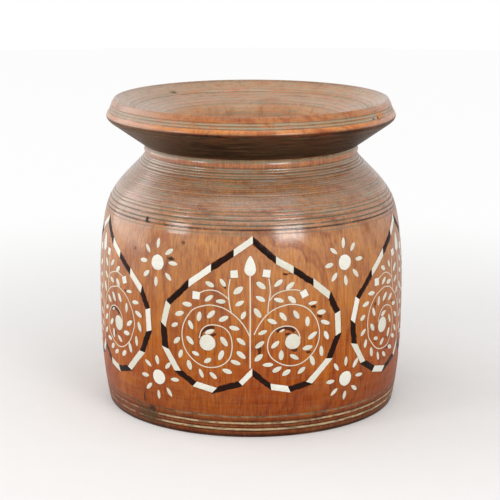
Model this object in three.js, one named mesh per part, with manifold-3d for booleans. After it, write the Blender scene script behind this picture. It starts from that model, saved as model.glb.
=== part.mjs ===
// Turned wooden ghee pot with a flared rim and five inlaid hearts round its wall.
// Millimetres, +Z up. The origin is the centre of the flat underside, on the floor.
// The first heart faces -Y. An inlay is drawn on the unrolled wall, where x runs round
// the belly to the right, y is the height and z stands out of the wall, and is then
// bent round the pot. Each inlay lies flush in a pocket of its own outline.

import * as THREE from "three";
import { mergeVertices } from "three/addons/utils/BufferGeometryUtils.js";
import Module from "manifold-3d";

const wasm = await Module();
wasm.setup();

// Turned outside. Heights are steps, each from the one before: foot, belly, shoulder,
// neck, bead, rim, band and lip.
const FOOT_RADIUS = 138.6;
const FOOT_EDGE = 1.2;
const BELLY_RADIUS = 146.2;
const BELLY_RISE = 110;
const SHOULDER_RADIUS = 137.8;
const SHOULDER_RISE = 82;
const SHOULDER_LEAN = 0.32;
const NECK_RADIUS = 101.4;
const NECK_RISE = 48;
const NECK_LEAN = 0.2;
const NECK_BEAD = 0.8;
const NECK_BEAD_HEIGHT = 3;
const RIM_SPRING_RISE = 3.5;
const RIM_SPRING_OUT = 2.6;
const RIM_RADIUS = 136.4;
const RIM_RISE = 26.5;
const RIM_ROUND = 5.2;
const RIM_ROUND_HEIGHT = 7;
const RIM_BAND_RISE = 3;
const RIM_BAND_HEIGHT = 6;
const LIP_RISE = 6.5;
const LIP_SET_IN = 4.4;
const LIP_ROUND = 1;

// How far each stretch of the wall keeps straight on before it curves away
const BELLY_REACH = 30;
const SHOULDER_REACH_DOWN = 18;
const SHOULDER_REACH_UP = 22;
const NECK_REACH = 8;
const LOWER_WALL_ROUNDNESS = 3;

// Turned grooves
const GROOVE_WIDTH = 2;
const GROOVE_DEPTH = 0.8;
const FOOT_GROOVE_HEIGHT = 8;
const FOOT_GROOVE_PITCH = 6;
const RIM_BAND_DEPTH = 0.6;

// Hollow inside
const WALL = 20;
const FLOOR = 22;
const FLOOR_CORNER = 14;
const NECK_WALL = 21;
const THROAT_EDGE = 2;
const DISH_DEPTH = 18.5;
const RIDGE_IN_FROM_LIP = 20;
const RIDGE_BELOW_LIP = 8.5;
const RIDGE_SIZE = 0.8;
const LIP_WIDTH = 3;
const LIP_DIP = 0.5;

// Facets of the turned body
const SIDES = 40;
const LOWER_RINGS = 4;
const UPPER_RINGS = 4;
const NECK_RINGS = 5;
const INSIDE_RINGS = 7;
const CORNER_STEPS = 3;

// Inlay sizes
const HEART_COUNT = 5;
const HEART_GAP = 10.3;
const HEART_BOTTOM = 44;
const HEART_HEIGHT = 143;
const INLAY_DEPTH = 3;
const STEM_DEPTH = 1.6;
const CLEARANCE = 0.3;
const OVERCUT = 2;
const BORDER_WIDTH = 6;
const STEM_WIDTH = 1.6;
const DISC_RADIUS = 7.2;
const SQUARE_SIDE = 6.7;
const BUD_WIDTH = 10.5;
const BUD_HEIGHT = 17.7;
const ROSETTE_RADIUS = 7;
const DISC_SIDES = 14;
const BUD_SIDES = 6;
const STRIP_STEP = 15;

// The heart is drawn on a grid of this half width and height, measured from its middle
// and its lowest edge, and the grid is stretched to the heart's own size.
const GRID_HALF_WIDTH = 86;
const GRID_HEIGHT = 143;

// Joints of the border's straight strips, clockwise from the tip
const BORDER_JOINTS = [
  [1.5, 139.5], [22.5, 122], [38.8, 112.5], [57, 100], [73, 86.5], [81.5, 70],
  [82.9, 49], [73, 27.5], [54, 7], [34, 3], [17.5, 6], [1.2, 20.5],
  [-10, 8], [-32.8, 3], [-51.5, 5.5], [-68.5, 16.5], [-81, 36.3], [-82.9, 58],
  [-77.5, 79], [-57, 99], [-36.2, 114.5], [-15.6, 128.3],
];
const NOTCH_JOINT = 11;

// Where the small pieces sit on the grid, and how far each square is turned
const BUD_AT = [-0.8, 108.3];
const DISCS = [
  { name: "left_disc", at: [-39.2, 46] },
  { name: "right_disc", at: [37.3, 47.2] },
];
const SQUARES = [
  { name: "left_inner_square", at: [-15, 109.8], turn: 0 },
  { name: "left_outer_square", at: [-49.6, 88.8], turn: 0 },
  { name: "right_inner_square", at: [13.8, 110.4], turn: -8 },
  { name: "right_outer_square", at: [47.9, 90.4], turn: 25 },
];

// Heights on the grid of the rosettes' discs, which lie midway between two hearts
const ROSETTES = [
  { name: "upper_rosette_disc", height: 114 },
  { name: "lower_rosette_disc", height: 6 },
];

const WOOD = { color: 0xa85f2c, roughness: 0.4, metalness: 0 };
const BONE = { color: 0xe9dfcb, roughness: 0.45, metalness: 0 };

const bellyZ = BELLY_RISE;
const shoulderZ = bellyZ + SHOULDER_RISE;
const neckZ = shoulderZ + NECK_RISE;
const beadZ = neckZ + NECK_BEAD_HEIGHT;
const springZ = beadZ + NECK_BEAD_HEIGHT + RIM_SPRING_RISE;
const rimZ = springZ + RIM_RISE;
const bandLowZ = rimZ + RIM_BAND_RISE;
const bandHighZ = bandLowZ + RIM_BAND_HEIGHT;
const lipZ = bandHighZ + LIP_RISE;
const lipRadius = RIM_RADIUS - LIP_SET_IN;
const throatRadius = NECK_RADIUS - NECK_WALL;
const heartPitch = (2 * Math.PI) / HEART_COUNT;
const heartHalfWidth = (BELLY_RADIUS * heartPitch - HEART_GAP) / 2;

const point = (x, y) => new THREE.Vector2(x, y);

// Two curves carry the wall from the belly to the shoulder and on to the neck.
const bellyToShoulder = new THREE.CubicBezierCurve(
  point(BELLY_RADIUS, bellyZ),
  point(BELLY_RADIUS, bellyZ + BELLY_REACH),
  point(SHOULDER_RADIUS + SHOULDER_LEAN * SHOULDER_REACH_DOWN, shoulderZ - SHOULDER_REACH_DOWN),
  point(SHOULDER_RADIUS, shoulderZ),
);
const shoulderToNeck = new THREE.CubicBezierCurve(
  point(SHOULDER_RADIUS, shoulderZ),
  point(SHOULDER_RADIUS - SHOULDER_LEAN * SHOULDER_REACH_UP, shoulderZ + SHOULDER_REACH_UP),
  point(NECK_RADIUS + NECK_LEAN * NECK_REACH, neckZ - NECK_REACH),
  point(NECK_RADIUS, neckZ),
);

// Radius of a rising curve at a height, found by halving
function radiusOn(curve, z) {
  let low = 0;
  let high = 1;
  for (let i = 0; i < 30; i += 1) {
    const middle = (low + high) / 2;
    if (curve.getPoint(middle).y < z) low = middle;
    else high = middle;
  }
  return curve.getPoint(high).x;
}

function wallRadius(z) {
  if (z > shoulderZ) return radiusOn(shoulderToNeck, z);
  if (z > bellyZ) return radiusOn(bellyToShoulder, z);
  const down = (bellyZ - z) / bellyZ;
  return BELLY_RADIUS - (BELLY_RADIUS - FOOT_RADIUS) * down ** LOWER_WALL_ROUNDNESS;
}

// Evenly spaced heights from one to another, without the first
function heights(from, to, count) {
  return Array.from({ length: count }, (_, i) => from + ((to - from) * (i + 1)) / count);
}

function outsideWall() {
  const half = GROOVE_WIDTH / 2;
  const grooves = [FOOT_GROOVE_HEIGHT, FOOT_GROOVE_HEIGHT + FOOT_GROOVE_PITCH, shoulderZ];
  const rings = [
    FOOT_EDGE,
    ...heights(FOOT_EDGE, bellyZ, LOWER_RINGS),
    ...heights(bellyZ, shoulderZ, UPPER_RINGS),
    ...heights(shoulderZ, neckZ, NECK_RINGS),
  ];
  const clear = rings.filter((z) => grooves.every((groove) => Math.abs(z - groove) > GROOVE_WIDTH));
  const wall = clear.map((z) => point(wallRadius(z), z));
  for (const groove of grooves) {
    wall.push(point(wallRadius(groove - half), groove - half));
    wall.push(point(wallRadius(groove) - GROOVE_DEPTH, groove));
    wall.push(point(wallRadius(groove + half), groove + half));
  }
  return wall.sort((a, b) => a.y - b.y);
}

// Outside of the rim, from the bead on the neck up to the lip
function outsideRim() {
  const round = new THREE.QuadraticBezierCurve(
    point(RIM_RADIUS - RIM_ROUND, rimZ - RIM_ROUND_HEIGHT),
    point(RIM_RADIUS, rimZ - RIM_ROUND_HEIGHT / 2),
    point(RIM_RADIUS, rimZ),
  );
  const face = (z, depth) => (
    point(RIM_RADIUS - (LIP_SET_IN * (z - rimZ)) / (lipZ - rimZ) - depth, z)
  );
  return [
    point(NECK_RADIUS + NECK_BEAD, beadZ),
    point(NECK_RADIUS, beadZ + NECK_BEAD_HEIGHT),
    point(NECK_RADIUS + RIM_SPRING_OUT, springZ),
    ...round.getPoints(2),
    face(bandLowZ, 0),
    face(bandLowZ + RIM_BAND_DEPTH, RIM_BAND_DEPTH),
    face(bandHighZ - RIM_BAND_DEPTH, RIM_BAND_DEPTH),
    face(bandHighZ, 0),
    face(lipZ - LIP_ROUND, 0),
    point(lipRadius - LIP_ROUND, lipZ),
  ];
}

// The dished top of the rim, from the lip in to the edge of the throat
function dish() {
  const ridgeRadius = lipRadius - RIDGE_IN_FROM_LIP;
  const ridgeZ = lipZ - RIDGE_BELOW_LIP;
  return [
    point(lipRadius - LIP_WIDTH, lipZ - LIP_DIP),
    point(ridgeRadius + RIDGE_SIZE, ridgeZ),
    point(ridgeRadius, ridgeZ + RIDGE_SIZE),
    point(ridgeRadius - RIDGE_SIZE, ridgeZ - RIDGE_SIZE),
    point(throatRadius + THROAT_EDGE, lipZ - DISH_DEPTH),
    point(throatRadius, lipZ - DISH_DEPTH - THROAT_EDGE),
  ];
}

// Inside wall, one wall thickness in from the outside: from the throat down a cone of
// 45 degrees, then down the wall to a rounded corner at the floor
function insideWall() {
  const inset = heights(neckZ, 0, INSIDE_RINGS).map((z) => {
    const slope = wallRadius(z + 1) - wallRadius(z - 1);
    const normal = point(-2, slope).normalize();
    return point(wallRadius(z), z).addScaledVector(normal, WALL);
  });
  const cornerZ = FLOOR + FLOOR_CORNER;
  const open = inset.filter((p) => p.x > throatRadius && p.y > cornerZ);
  const foot = wallRadius(cornerZ) - WALL;
  const corner = new THREE.EllipseCurve(
    foot - FLOOR_CORNER, cornerZ, FLOOR_CORNER, FLOOR_CORNER, 0, -Math.PI / 2, true,
  );
  const throatEnd = point(throatRadius, open[0].y + open[0].x - throatRadius);
  return [throatEnd, ...open, ...corner.getPoints(CORNER_STEPS)];
}

function toSolid(geometry) {
  const bare = geometry.clone();
  bare.deleteAttribute("normal");
  bare.deleteAttribute("uv");
  const merged = mergeVertices(bare, 1e-4);
  const vertProperties = new Float32Array(merged.attributes.position.array);
  const triVerts = new Uint32Array(merged.index.array);
  return new wasm.Manifold(new wasm.Mesh({ numProp: 3, vertProperties, triVerts }));
}

function toGeometry(solid) {
  const mesh = solid.getMesh();
  const geometry = new THREE.BufferGeometry();
  geometry.setAttribute("position", new THREE.BufferAttribute(mesh.vertProperties, 3));
  geometry.setIndex(new THREE.BufferAttribute(mesh.triVerts, 1));
  geometry.computeVertexNormals();
  return geometry;
}

function turnedBody() {
  const profile = [
    point(0, 0),
    point(FOOT_RADIUS - FOOT_EDGE, 0),
    ...outsideWall(),
    ...outsideRim(),
    ...dish(),
    ...insideWall(),
    point(0, FLOOR),
  ];
  return new THREE.LatheGeometry(profile, SIDES).rotateX(Math.PI / 2);
}

// A place on the heart's grid, on the unrolled wall
function onWall([x, y]) {
  return point(
    (x / GRID_HALF_WIDTH) * heartHalfWidth,
    HEART_BOTTOM + (y / GRID_HEIGHT) * HEART_HEIGHT,
  );
}

// The line moved sideways by a distance, to the left of its travel, with mitred corners
function offsetLine(line, distance, closed) {
  const count = line.length;
  return line.map((here, i) => {
    const before = line[(i + count - 1) % count];
    const after = line[(i + 1) % count];
    const arriving = here.clone().sub(before).normalize();
    const leaving = after.clone().sub(here).normalize();
    const first = closed || i > 0 ? arriving : leaving;
    const second = closed || i < count - 1 ? leaving : arriving;
    const sideways = point(-first.y - second.y, first.x + second.x);
    return here.clone().addScaledVector(sideways, distance / (1 + first.dot(second)));
  });
}

// Extra points along the straight strips of a closed line, so that they follow the wall
function withSteps(line, step) {
  return line.flatMap((here, i) => {
    const next = line[(i + 1) % line.length];
    const count = Math.ceil(here.distanceTo(next) / step);
    return Array.from({ length: count }, (_, k) => here.clone().lerp(next, k / count));
  });
}

// A flat strip of one width along a line, from a depth below the wall's surface to a lift
// above it. A closed strip runs back to its start, and an open one has two ends.
function strip(line, width, depth, lift, closed) {
  const left = offsetLine(line, width / 2, closed);
  const right = offsetLine(line, -width / 2, closed);
  const corners = line.flatMap((_, i) => [
    [left[i].x, left[i].y, lift],
    [right[i].x, right[i].y, lift],
    [right[i].x, right[i].y, -depth],
    [left[i].x, left[i].y, -depth],
  ]);
  const faces = [];
  const quad = (a, b, c, d) => faces.push(a, b, c, a, c, d);
  const spans = closed ? line.length : line.length - 1;
  for (let i = 0; i < spans; i += 1) {
    const here = 4 * i;
    const next = 4 * ((i + 1) % line.length);
    for (let k = 0; k < 4; k += 1) {
      const turn = (k + 1) % 4;
      quad(here + k, here + turn, next + turn, next + k);
    }
  }
  if (!closed) {
    const last = 4 * spans;
    quad(3, 2, 1, 0);
    quad(last, last + 1, last + 2, last + 3);
  }
  const geometry = new THREE.BufferGeometry();
  geometry.setAttribute("position", new THREE.Float32BufferAttribute(corners.flat(), 3));
  geometry.setIndex(faces);
  return geometry;
}

// A flat plate of any outline, with the same depth and lift
function plate(outline, depth, lift) {
  const extrusion = { depth: depth + lift, bevelEnabled: false, steps: 1 };
  return new THREE.ExtrudeGeometry(outline, extrusion).translate(0, 0, -depth);
}

// Each piece's form takes a growth of its outline: nothing for the piece itself, and
// the clearance for its pocket.
function borderForm(growth, depth, lift) {
  const line = withSteps(BORDER_JOINTS.map(onWall), STRIP_STEP);
  return strip(line, BORDER_WIDTH + 2 * growth, depth, lift, true);
}

// The stem runs from the bud's foot down to the border's notch, a clearance off both.
function stemForm(growth, depth, lift) {
  const foot = onWall(BUD_AT);
  const inward = -BORDER_WIDTH / 2 - CLEARANCE;
  const notch = offsetLine(BORDER_JOINTS.map(onWall), inward, true)[NOTCH_JOINT];
  const top = point(foot.x, foot.y - CLEARANCE + growth);
  const bottom = point(notch.x, notch.y - growth);
  const count = Math.ceil(top.distanceTo(bottom) / STRIP_STEP);
  const line = Array.from({ length: count + 1 }, (_, k) => top.clone().lerp(bottom, k / count));
  return strip(line, STEM_WIDTH + 2 * growth, depth, lift, false);
}

function roundOutline(at, radius) {
  const ring = new THREE.EllipseCurve(at.x, at.y, radius, radius).getPoints(DISC_SIDES);
  return new THREE.Shape(ring.slice(1));
}

function squareOutline(at, turn, growth) {
  const reach = (SQUARE_SIDE / 2 + growth) * Math.SQRT2;
  const start = THREE.MathUtils.degToRad(turn + 45);
  const corner = (k) => point(Math.cos(start + (k * Math.PI) / 2), Math.sin(start + (k * Math.PI) / 2));
  return new THREE.Shape([0, 1, 2, 3].map((k) => corner(k).multiplyScalar(reach).add(at)));
}

// A drop with its round end down
function budOutline(growth) {
  const foot = onWall(BUD_AT);
  const round = BUD_WIDTH / 2;
  const tip = point(0, BUD_HEIGHT);
  const bowl = new THREE.EllipseCurve(0, round, round, round, 0, Math.PI, true);
  const drop = [tip, ...bowl.getPoints(BUD_SIDES)].map((p) => p.clone().add(foot));
  return new THREE.Shape(offsetLine(drop, growth, true));
}

function bend(flat) {
  const bent = flat.clone();
  const place = bent.attributes.position;
  for (let i = 0; i < place.count; i += 1) {
    const angle = place.getX(i) / BELLY_RADIUS;
    const height = place.getY(i);
    const radius = wallRadius(height) + place.getZ(i);
    place.setXYZ(i, radius * Math.sin(angle), -radius * Math.cos(angle), height);
  }
  return bent;
}

const outlined = (name, outline) => ({
  name,
  form: (growth, depth, lift) => plate(outline(growth), depth, lift),
});

// The inlays of one heart
const heartPieces = [
  { name: "border", form: borderForm },
  { name: "stem", form: stemForm, depth: STEM_DEPTH },
  outlined("bud", budOutline),
  ...DISCS.map(({ name, at }) => (
    outlined(name, (growth) => roundOutline(onWall(at), DISC_RADIUS + growth))
  )),
  ...SQUARES.map(({ name, at, turn }) => (
    outlined(name, (growth) => squareOutline(onWall(at), turn, growth))
  )),
];

const rosettePieces = ROSETTES.map(({ name, height }) => {
  const at = point((BELLY_RADIUS * heartPitch) / 2, onWall([0, height]).y);
  return outlined(name, (growth) => roundOutline(at, ROSETTE_RADIUS + growth));
});

const inlays = [...heartPieces, ...rosettePieces];

const depthOf = ({ depth = INLAY_DEPTH }) => depth;

function mesh(name, geometry, look) {
  const made = new THREE.Mesh(geometry, new THREE.MeshStandardMaterial(look));
  made.name = name;
  return made;
}

function pot() {
  let solid = toSolid(turnedBody());
  for (const inlay of inlays) {
    const pocket = bend(inlay.form(CLEARANCE, depthOf(inlay) + CLEARANCE, OVERCUT));
    for (let k = 0; k < HEART_COUNT; k += 1) {
      solid = solid.subtract(toSolid(pocket.clone().rotateZ(k * heartPitch)));
    }
  }
  return mesh("pot_body", toGeometry(solid), WOOD);
}

// One heart with the two rosette discs on its right
function heart(number) {
  const group = new THREE.Group();
  for (const inlay of inlays) {
    group.add(mesh(`${inlay.name}_${number}`, bend(inlay.form(0, depthOf(inlay), 0)), BONE));
  }
  group.rotation.z = (number - 1) * heartPitch;
  return group;
}

const gheePot = new THREE.Group();
gheePot.add(pot());
for (let number = 1; number <= HEART_COUNT; number += 1) gheePot.add(heart(number));

export default gheePot;
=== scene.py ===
"""Dresses the turned ghee pot: lacquered wood with bone and dark wood let into its wall."""

import logging
import math
import random
from bisect import bisect_right
from dataclasses import dataclass, field
from enum import Enum
from operator import itemgetter
from typing import Any, Callable, Optional, Sequence, Union

import bmesh
import bpy
from mathutils import Matrix, Vector


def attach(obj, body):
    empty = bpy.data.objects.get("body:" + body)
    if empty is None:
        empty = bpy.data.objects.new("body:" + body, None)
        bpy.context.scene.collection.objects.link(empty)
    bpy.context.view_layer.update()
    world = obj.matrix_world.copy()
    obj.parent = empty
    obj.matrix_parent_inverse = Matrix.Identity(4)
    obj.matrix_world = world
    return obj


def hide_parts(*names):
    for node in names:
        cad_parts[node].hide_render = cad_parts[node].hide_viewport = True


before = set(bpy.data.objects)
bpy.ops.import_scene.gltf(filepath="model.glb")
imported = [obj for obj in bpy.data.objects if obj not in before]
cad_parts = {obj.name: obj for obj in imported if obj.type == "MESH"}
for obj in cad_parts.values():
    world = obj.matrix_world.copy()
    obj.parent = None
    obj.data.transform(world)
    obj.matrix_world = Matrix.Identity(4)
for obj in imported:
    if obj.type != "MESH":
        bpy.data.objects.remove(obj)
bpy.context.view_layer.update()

LOG = logging.getLogger("ghee_pot")
MM = 0.001
GIRTH_RADIUS = 145.0  # a millimetre on the flat drawing is this much of a radian round the pot
PANEL_COUNT = 5
SHARP_ANGLE = math.radians(38)
MERGED = 2e-6
PROFILE_LAYERS = ("along", "residue", "shade", "patina")

Point = tuple[float, float]
Place = tuple[float, float, float]
Colour = tuple[float, float, float, float]
Value = Union["Wire", float, Sequence[float]]


class Slot(Enum):
    """Names of two material slots, which nothing in this script reads."""

    WOOD = "wood"
    BONE = "bone"


class Side(Enum):
    """The two lobes of a heart, by the sign of their place along the wall."""

    LEFT = -1
    RIGHT = 1


class Level(Enum):
    """Whereabouts a rosette stands between two hearts: its height in millimetres."""

    UPPER = 158.0
    LOWER = 50.0


MEASURED_STRAYS = {
    (1, Level.UPPER): (-0.5, 0.1), (1, Level.LOWER): (1.1, -1.0),
    (5, Level.UPPER): (0.7, 0.0), (5, Level.LOWER): (1.5, 0.9),
}


def tint(red: float, green: float, blue: float) -> Colour:
    """Turns a colour as it is seen on a screen into a linear one.

    Args:
        red: Red from 0 to 255.
        green: Green from 0 to 255.
        blue: Blue from 0 to 255.

    Returns:
        The linear colour with an alpha of 1.
    """
    def linear(part: float) -> float:
        """Undoes the screen's curve for one part of the colour."""
        share = part / 255
        return share / 12.92 if share <= 0.04045 else ((share + 0.055) / 1.055) ** 2.4

    return linear(red), linear(green), linear(blue), 1.0


WHITE = tint(255, 255, 255)


@dataclass(frozen=True)
class Wire:
    """One output socket on a node sheet, on which Python's operators add Math nodes."""

    sheet: "NodeSheet"
    socket: bpy.types.NodeSocket

    def __add__(self, other: Value) -> "Wire":
        """Adds a value."""
        return self.sheet.math("ADD", self, other)

    def __radd__(self, other: Value) -> "Wire":
        """Adds itself to a value."""
        return self.sheet.math("ADD", other, self)

    def __sub__(self, other: Value) -> "Wire":
        """Takes a value away."""
        return self.sheet.math("SUBTRACT", self, other)

    def __rsub__(self, other: Value) -> "Wire":
        """Is taken away from a value."""
        return self.sheet.math("SUBTRACT", other, self)

    def __mul__(self, other: Value) -> "Wire":
        """Multiplies by a value."""
        return self.sheet.math("MULTIPLY", self, other)

    def __rmul__(self, other: Value) -> "Wire":
        """Multiplies a value."""
        return self.sheet.math("MULTIPLY", other, self)

    def __truediv__(self, other: Value) -> "Wire":
        """Divides by a value."""
        return self.sheet.math("DIVIDE", self, other)

    def __rtruediv__(self, other: Value) -> "Wire":
        """Divides a value."""
        return self.sheet.math("DIVIDE", other, self)


class NodeSheet:
    """The nodes of one material or world."""

    def __init__(self, owner: Union[bpy.types.Material, bpy.types.World]) -> None:
        """Clears the nodes of a material or world.

        Args:
            owner: The material or world.
        """
        owner.use_nodes = True
        self.tree = owner.node_tree
        self.tree.nodes.clear()

    def node(
        self, kind: str, settings: Optional[dict[str, Any]] = None,
        sockets: Optional[dict[Union[str, int], Value]] = None,
    ) -> bpy.types.Node:
        """Adds a node, sets it, and then fills or links its sockets.

        Args:
            kind: The node's type.
            settings: The node's own settings; "stops" are a colour ramp's positions and colours.
            sockets: Values or wires by the input's name or number.

        Returns:
            The new node.
        """
        made = self.tree.nodes.new(kind)
        for key, value in (settings or {}).items():
            if key == "stops":
                self._set_stops(made.color_ramp, value)
            else:
                setattr(made, key, value)
        for key, value in (sockets or {}).items():
            self.feed(made.inputs[key], value)
        return made

    @staticmethod
    def _set_stops(ramp: bpy.types.ColorRamp, stops: Sequence[tuple[float, Colour]]) -> None:
        """Gives a ramp its stops.

        Args:
            ramp: The ramp of a colour ramp node.
            stops: Position and colour of each stop, in order.
        """
        while len(ramp.elements) > 1:
            ramp.elements.remove(ramp.elements[-1])
        for number, (position, colour) in enumerate(stops):
            stop = ramp.elements[0] if number == 0 else ramp.elements.new(position)
            stop.position = position
            stop.color = colour

    def feed(self, socket: bpy.types.NodeSocket, value: Value) -> None:
        """Links a wire to an input, or writes a plain value on it.

        Args:
            socket: The input to fill.
            value: A wire, a number, a vector or a colour.
        """
        if isinstance(value, Wire):
            self.tree.links.new(value.socket, socket)
        else:
            socket.default_value = value

    def out(self, made: bpy.types.Node, name: Union[str, int] = 0) -> Wire:
        """Gives an output of a node as a wire."""
        return Wire(self, made.outputs[name])

    def math(self, operation: str, *values: Value) -> Wire:
        """Adds one Math node.

        Args:
            operation: The node's operation.
            values: Its inputs.

        Returns:
            The node's result.
        """
        return self.out(self.node("ShaderNodeMath", {"operation": operation}, dict(enumerate(values))))

    def vector(self, operation: str, *values: Value, output: str = "Vector") -> Wire:
        """Adds one Vector Math node.

        Args:
            operation: The node's operation.
            values: Its inputs.
            output: The output that is wanted, such as Value for a distance.

        Returns:
            The node's result.
        """
        made = self.node("ShaderNodeVectorMath", {"operation": operation}, dict(enumerate(values)))
        return self.out(made, output)

    def blend(self, share: Value, first: Value, second: Value, kind: str = "MIX") -> Wire:
        """Mixes two colours.

        Args:
            share: How much of the second colour there is, 0 to 1.
            first: The colour below.
            second: The colour above.
            kind: The way that they mix.

        Returns:
            The mixed colour.
        """
        settings = {"data_type": "RGBA", "blend_type": kind, "clamp_factor": True}
        made = self.node("ShaderNodeMix", settings, {0: share, 6: first, 7: second})
        return self.out(made, 2)

    def place(self) -> Wire:
        """Gives the object's own coordinates in millimetres."""
        made = self.node("ShaderNodeTexCoord")
        return self.vector("MULTIPLY", self.out(made, "Object"), (1 / MM, 1 / MM, 1 / MM))

    def parts(self, vector: Wire) -> tuple[Wire, Wire, Wire]:
        """Splits a vector.

        Args:
            vector: The vector to split.

        Returns:
            Its x, y and z.
        """
        made = self.node("ShaderNodeSeparateXYZ", None, {0: vector})
        return self.out(made, 0), self.out(made, 1), self.out(made, 2)

    def join(self, x: Value, y: Value, z: Value) -> Wire:
        """Makes a vector of three values."""
        return self.out(self.node("ShaderNodeCombineXYZ", None, {0: x, 1: y, 2: z}))

    def stretch(self, vector: Wire, x: float, y: float, z: float) -> Wire:
        """Divides a place by three lengths, the size that a pattern's marks get each way."""
        return self.vector("MULTIPLY", vector, (1 / x, 1 / y, 1 / z))

    def noise(self, vector: Wire, detail: float = 2.0, roughness: float = 0.5, warp: float = 0.0) -> Wire:
        """Adds a Noise Texture whose marks are about one unit across.

        Args:
            vector: Where the noise is read.
            detail: How many finer layers it has.
            roughness: How strong the finer layers are.
            warp: How far it is distorted.

        Returns:
            The noise, about 0 to 1.
        """
        sockets = {"Vector": vector, "Scale": 1.0, "Detail": detail, "Roughness": roughness, "Distortion": warp}
        return self.out(self.node("ShaderNodeTexNoise", None, sockets))

    def step(self, value: Value, low: float, high: float) -> Wire:
        """Rises smoothly from 0 at one value to 1 at another.

        Args:
            value: The value that is looked at.
            low: Where the result is 0.
            high: Where the result is 1; it may be below the first.

        Returns:
            The smooth step.
        """
        settings = {"interpolation_type": "SMOOTHSTEP", "clamp": True}
        ends = (low, high, 0.0, 1.0) if low <= high else (high, low, 1.0, 0.0)
        return self.out(self.node("ShaderNodeMapRange", settings, dict(enumerate((value, *ends)))))

    def ramp(self, value: Value, stops: Sequence[tuple[float, Colour]]) -> Wire:
        """Looks a colour up on a ramp.

        Args:
            value: The place on the ramp, 0 to 1.
            stops: Position and colour of each stop.

        Returns:
            The colour.
        """
        return self.out(self.node("ShaderNodeValToRGB", {"stops": stops}, {0: value}))

    def attribute(self, name: str, output: str = "Fac") -> Wire:
        """Reads one of the mesh's own attributes."""
        return self.out(self.node("ShaderNodeAttribute", {"attribute_name": name}), output)

    def relief(self, height: Wire, depth: float) -> Wire:
        """Turns a height into a bumped normal.

        Args:
            height: The height, about 0 to 1.
            depth: How deep a height of 1 is, in millimetres.

        Returns:
            The normal.
        """
        sockets = {"Strength": 1.0, "Distance": depth * MM, "Height": height}
        return self.out(self.node("ShaderNodeBump", None, sockets))


class MaterialSheet(NodeSheet):
    """The nodes of one material, with a Principled shader on its output."""

    def __init__(self, name: str) -> None:
        """Starts a material.

        Args:
            name: The material's name.
        """
        self.material = bpy.data.materials.new(name)
        super().__init__(self.material)
        self.shader = self.node("ShaderNodeBsdfPrincipled")
        self.output = self.node("ShaderNodeOutputMaterial", None, {"Surface": self.out(self.shader)})

    def dress(self, **sockets: Value) -> bpy.types.Material:
        """Fills the shader's sockets.

        Args:
            sockets: Values or wires, named as the sockets are, with _ for a blank.

        Returns:
            The finished material.
        """
        for name, value in sockets.items():
            self.feed(self.shader.inputs[name.replace("_", " ").title().replace("Ior", "IOR")], value)
        return self.material


def cubic(points: Sequence[Point], share: float) -> Point:
    """Finds a place on a cubic curve.

    Args:
        points: The curve's four control points.
        share: How far along the curve, 0 to 1.

    Returns:
        The place.
    """
    rest = 1 - share
    weights = (rest**3, 3 * rest**2 * share, 3 * rest * share**2, share**3)
    return (
        sum(weight * point[0] for weight, point in zip(weights, points)),
        sum(weight * point[1] for weight, point in zip(weights, points)),
    )


def smooth_path(knots: Sequence[Point], pace: float) -> list[Point]:
    """Draws a smooth line through points.

    Args:
        knots: The points that the line goes through.
        pace: About how far apart the line's own points are.

    Returns:
        The line's points.
    """
    line: list[Point] = []
    ends = [knots[0], *knots, knots[-1]]
    for a, b, c, d in zip(ends, ends[1:], ends[2:], ends[3:]):
        count = max(1, round(math.dist(b, c) / pace))
        first = (b[0] + (c[0] - a[0]) / 6, b[1] + (c[1] - a[1]) / 6)
        second = (c[0] - (d[0] - b[0]) / 6, c[1] - (d[1] - b[1]) / 6)
        line += [cubic((b, first, second, c), number / count) for number in range(count)]
    return [*line, knots[-1]]


def read_off(table: Sequence[Point], at: float) -> float:
    """Reads a value off a table, straight between its rows.

    Args:
        table: Rows of a place and its value, in order.
        at: The place.

    Returns:
        The value there; past the table's ends, that of its end.
    """
    after = min(max(bisect_right(table, at, key=itemgetter(0)), 1), len(table) - 1)
    (low, first), (high, last) = table[after - 1], table[after]
    return first + (last - first) * min(max((at - low) / (high - low), 0.0), 1.0)


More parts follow.
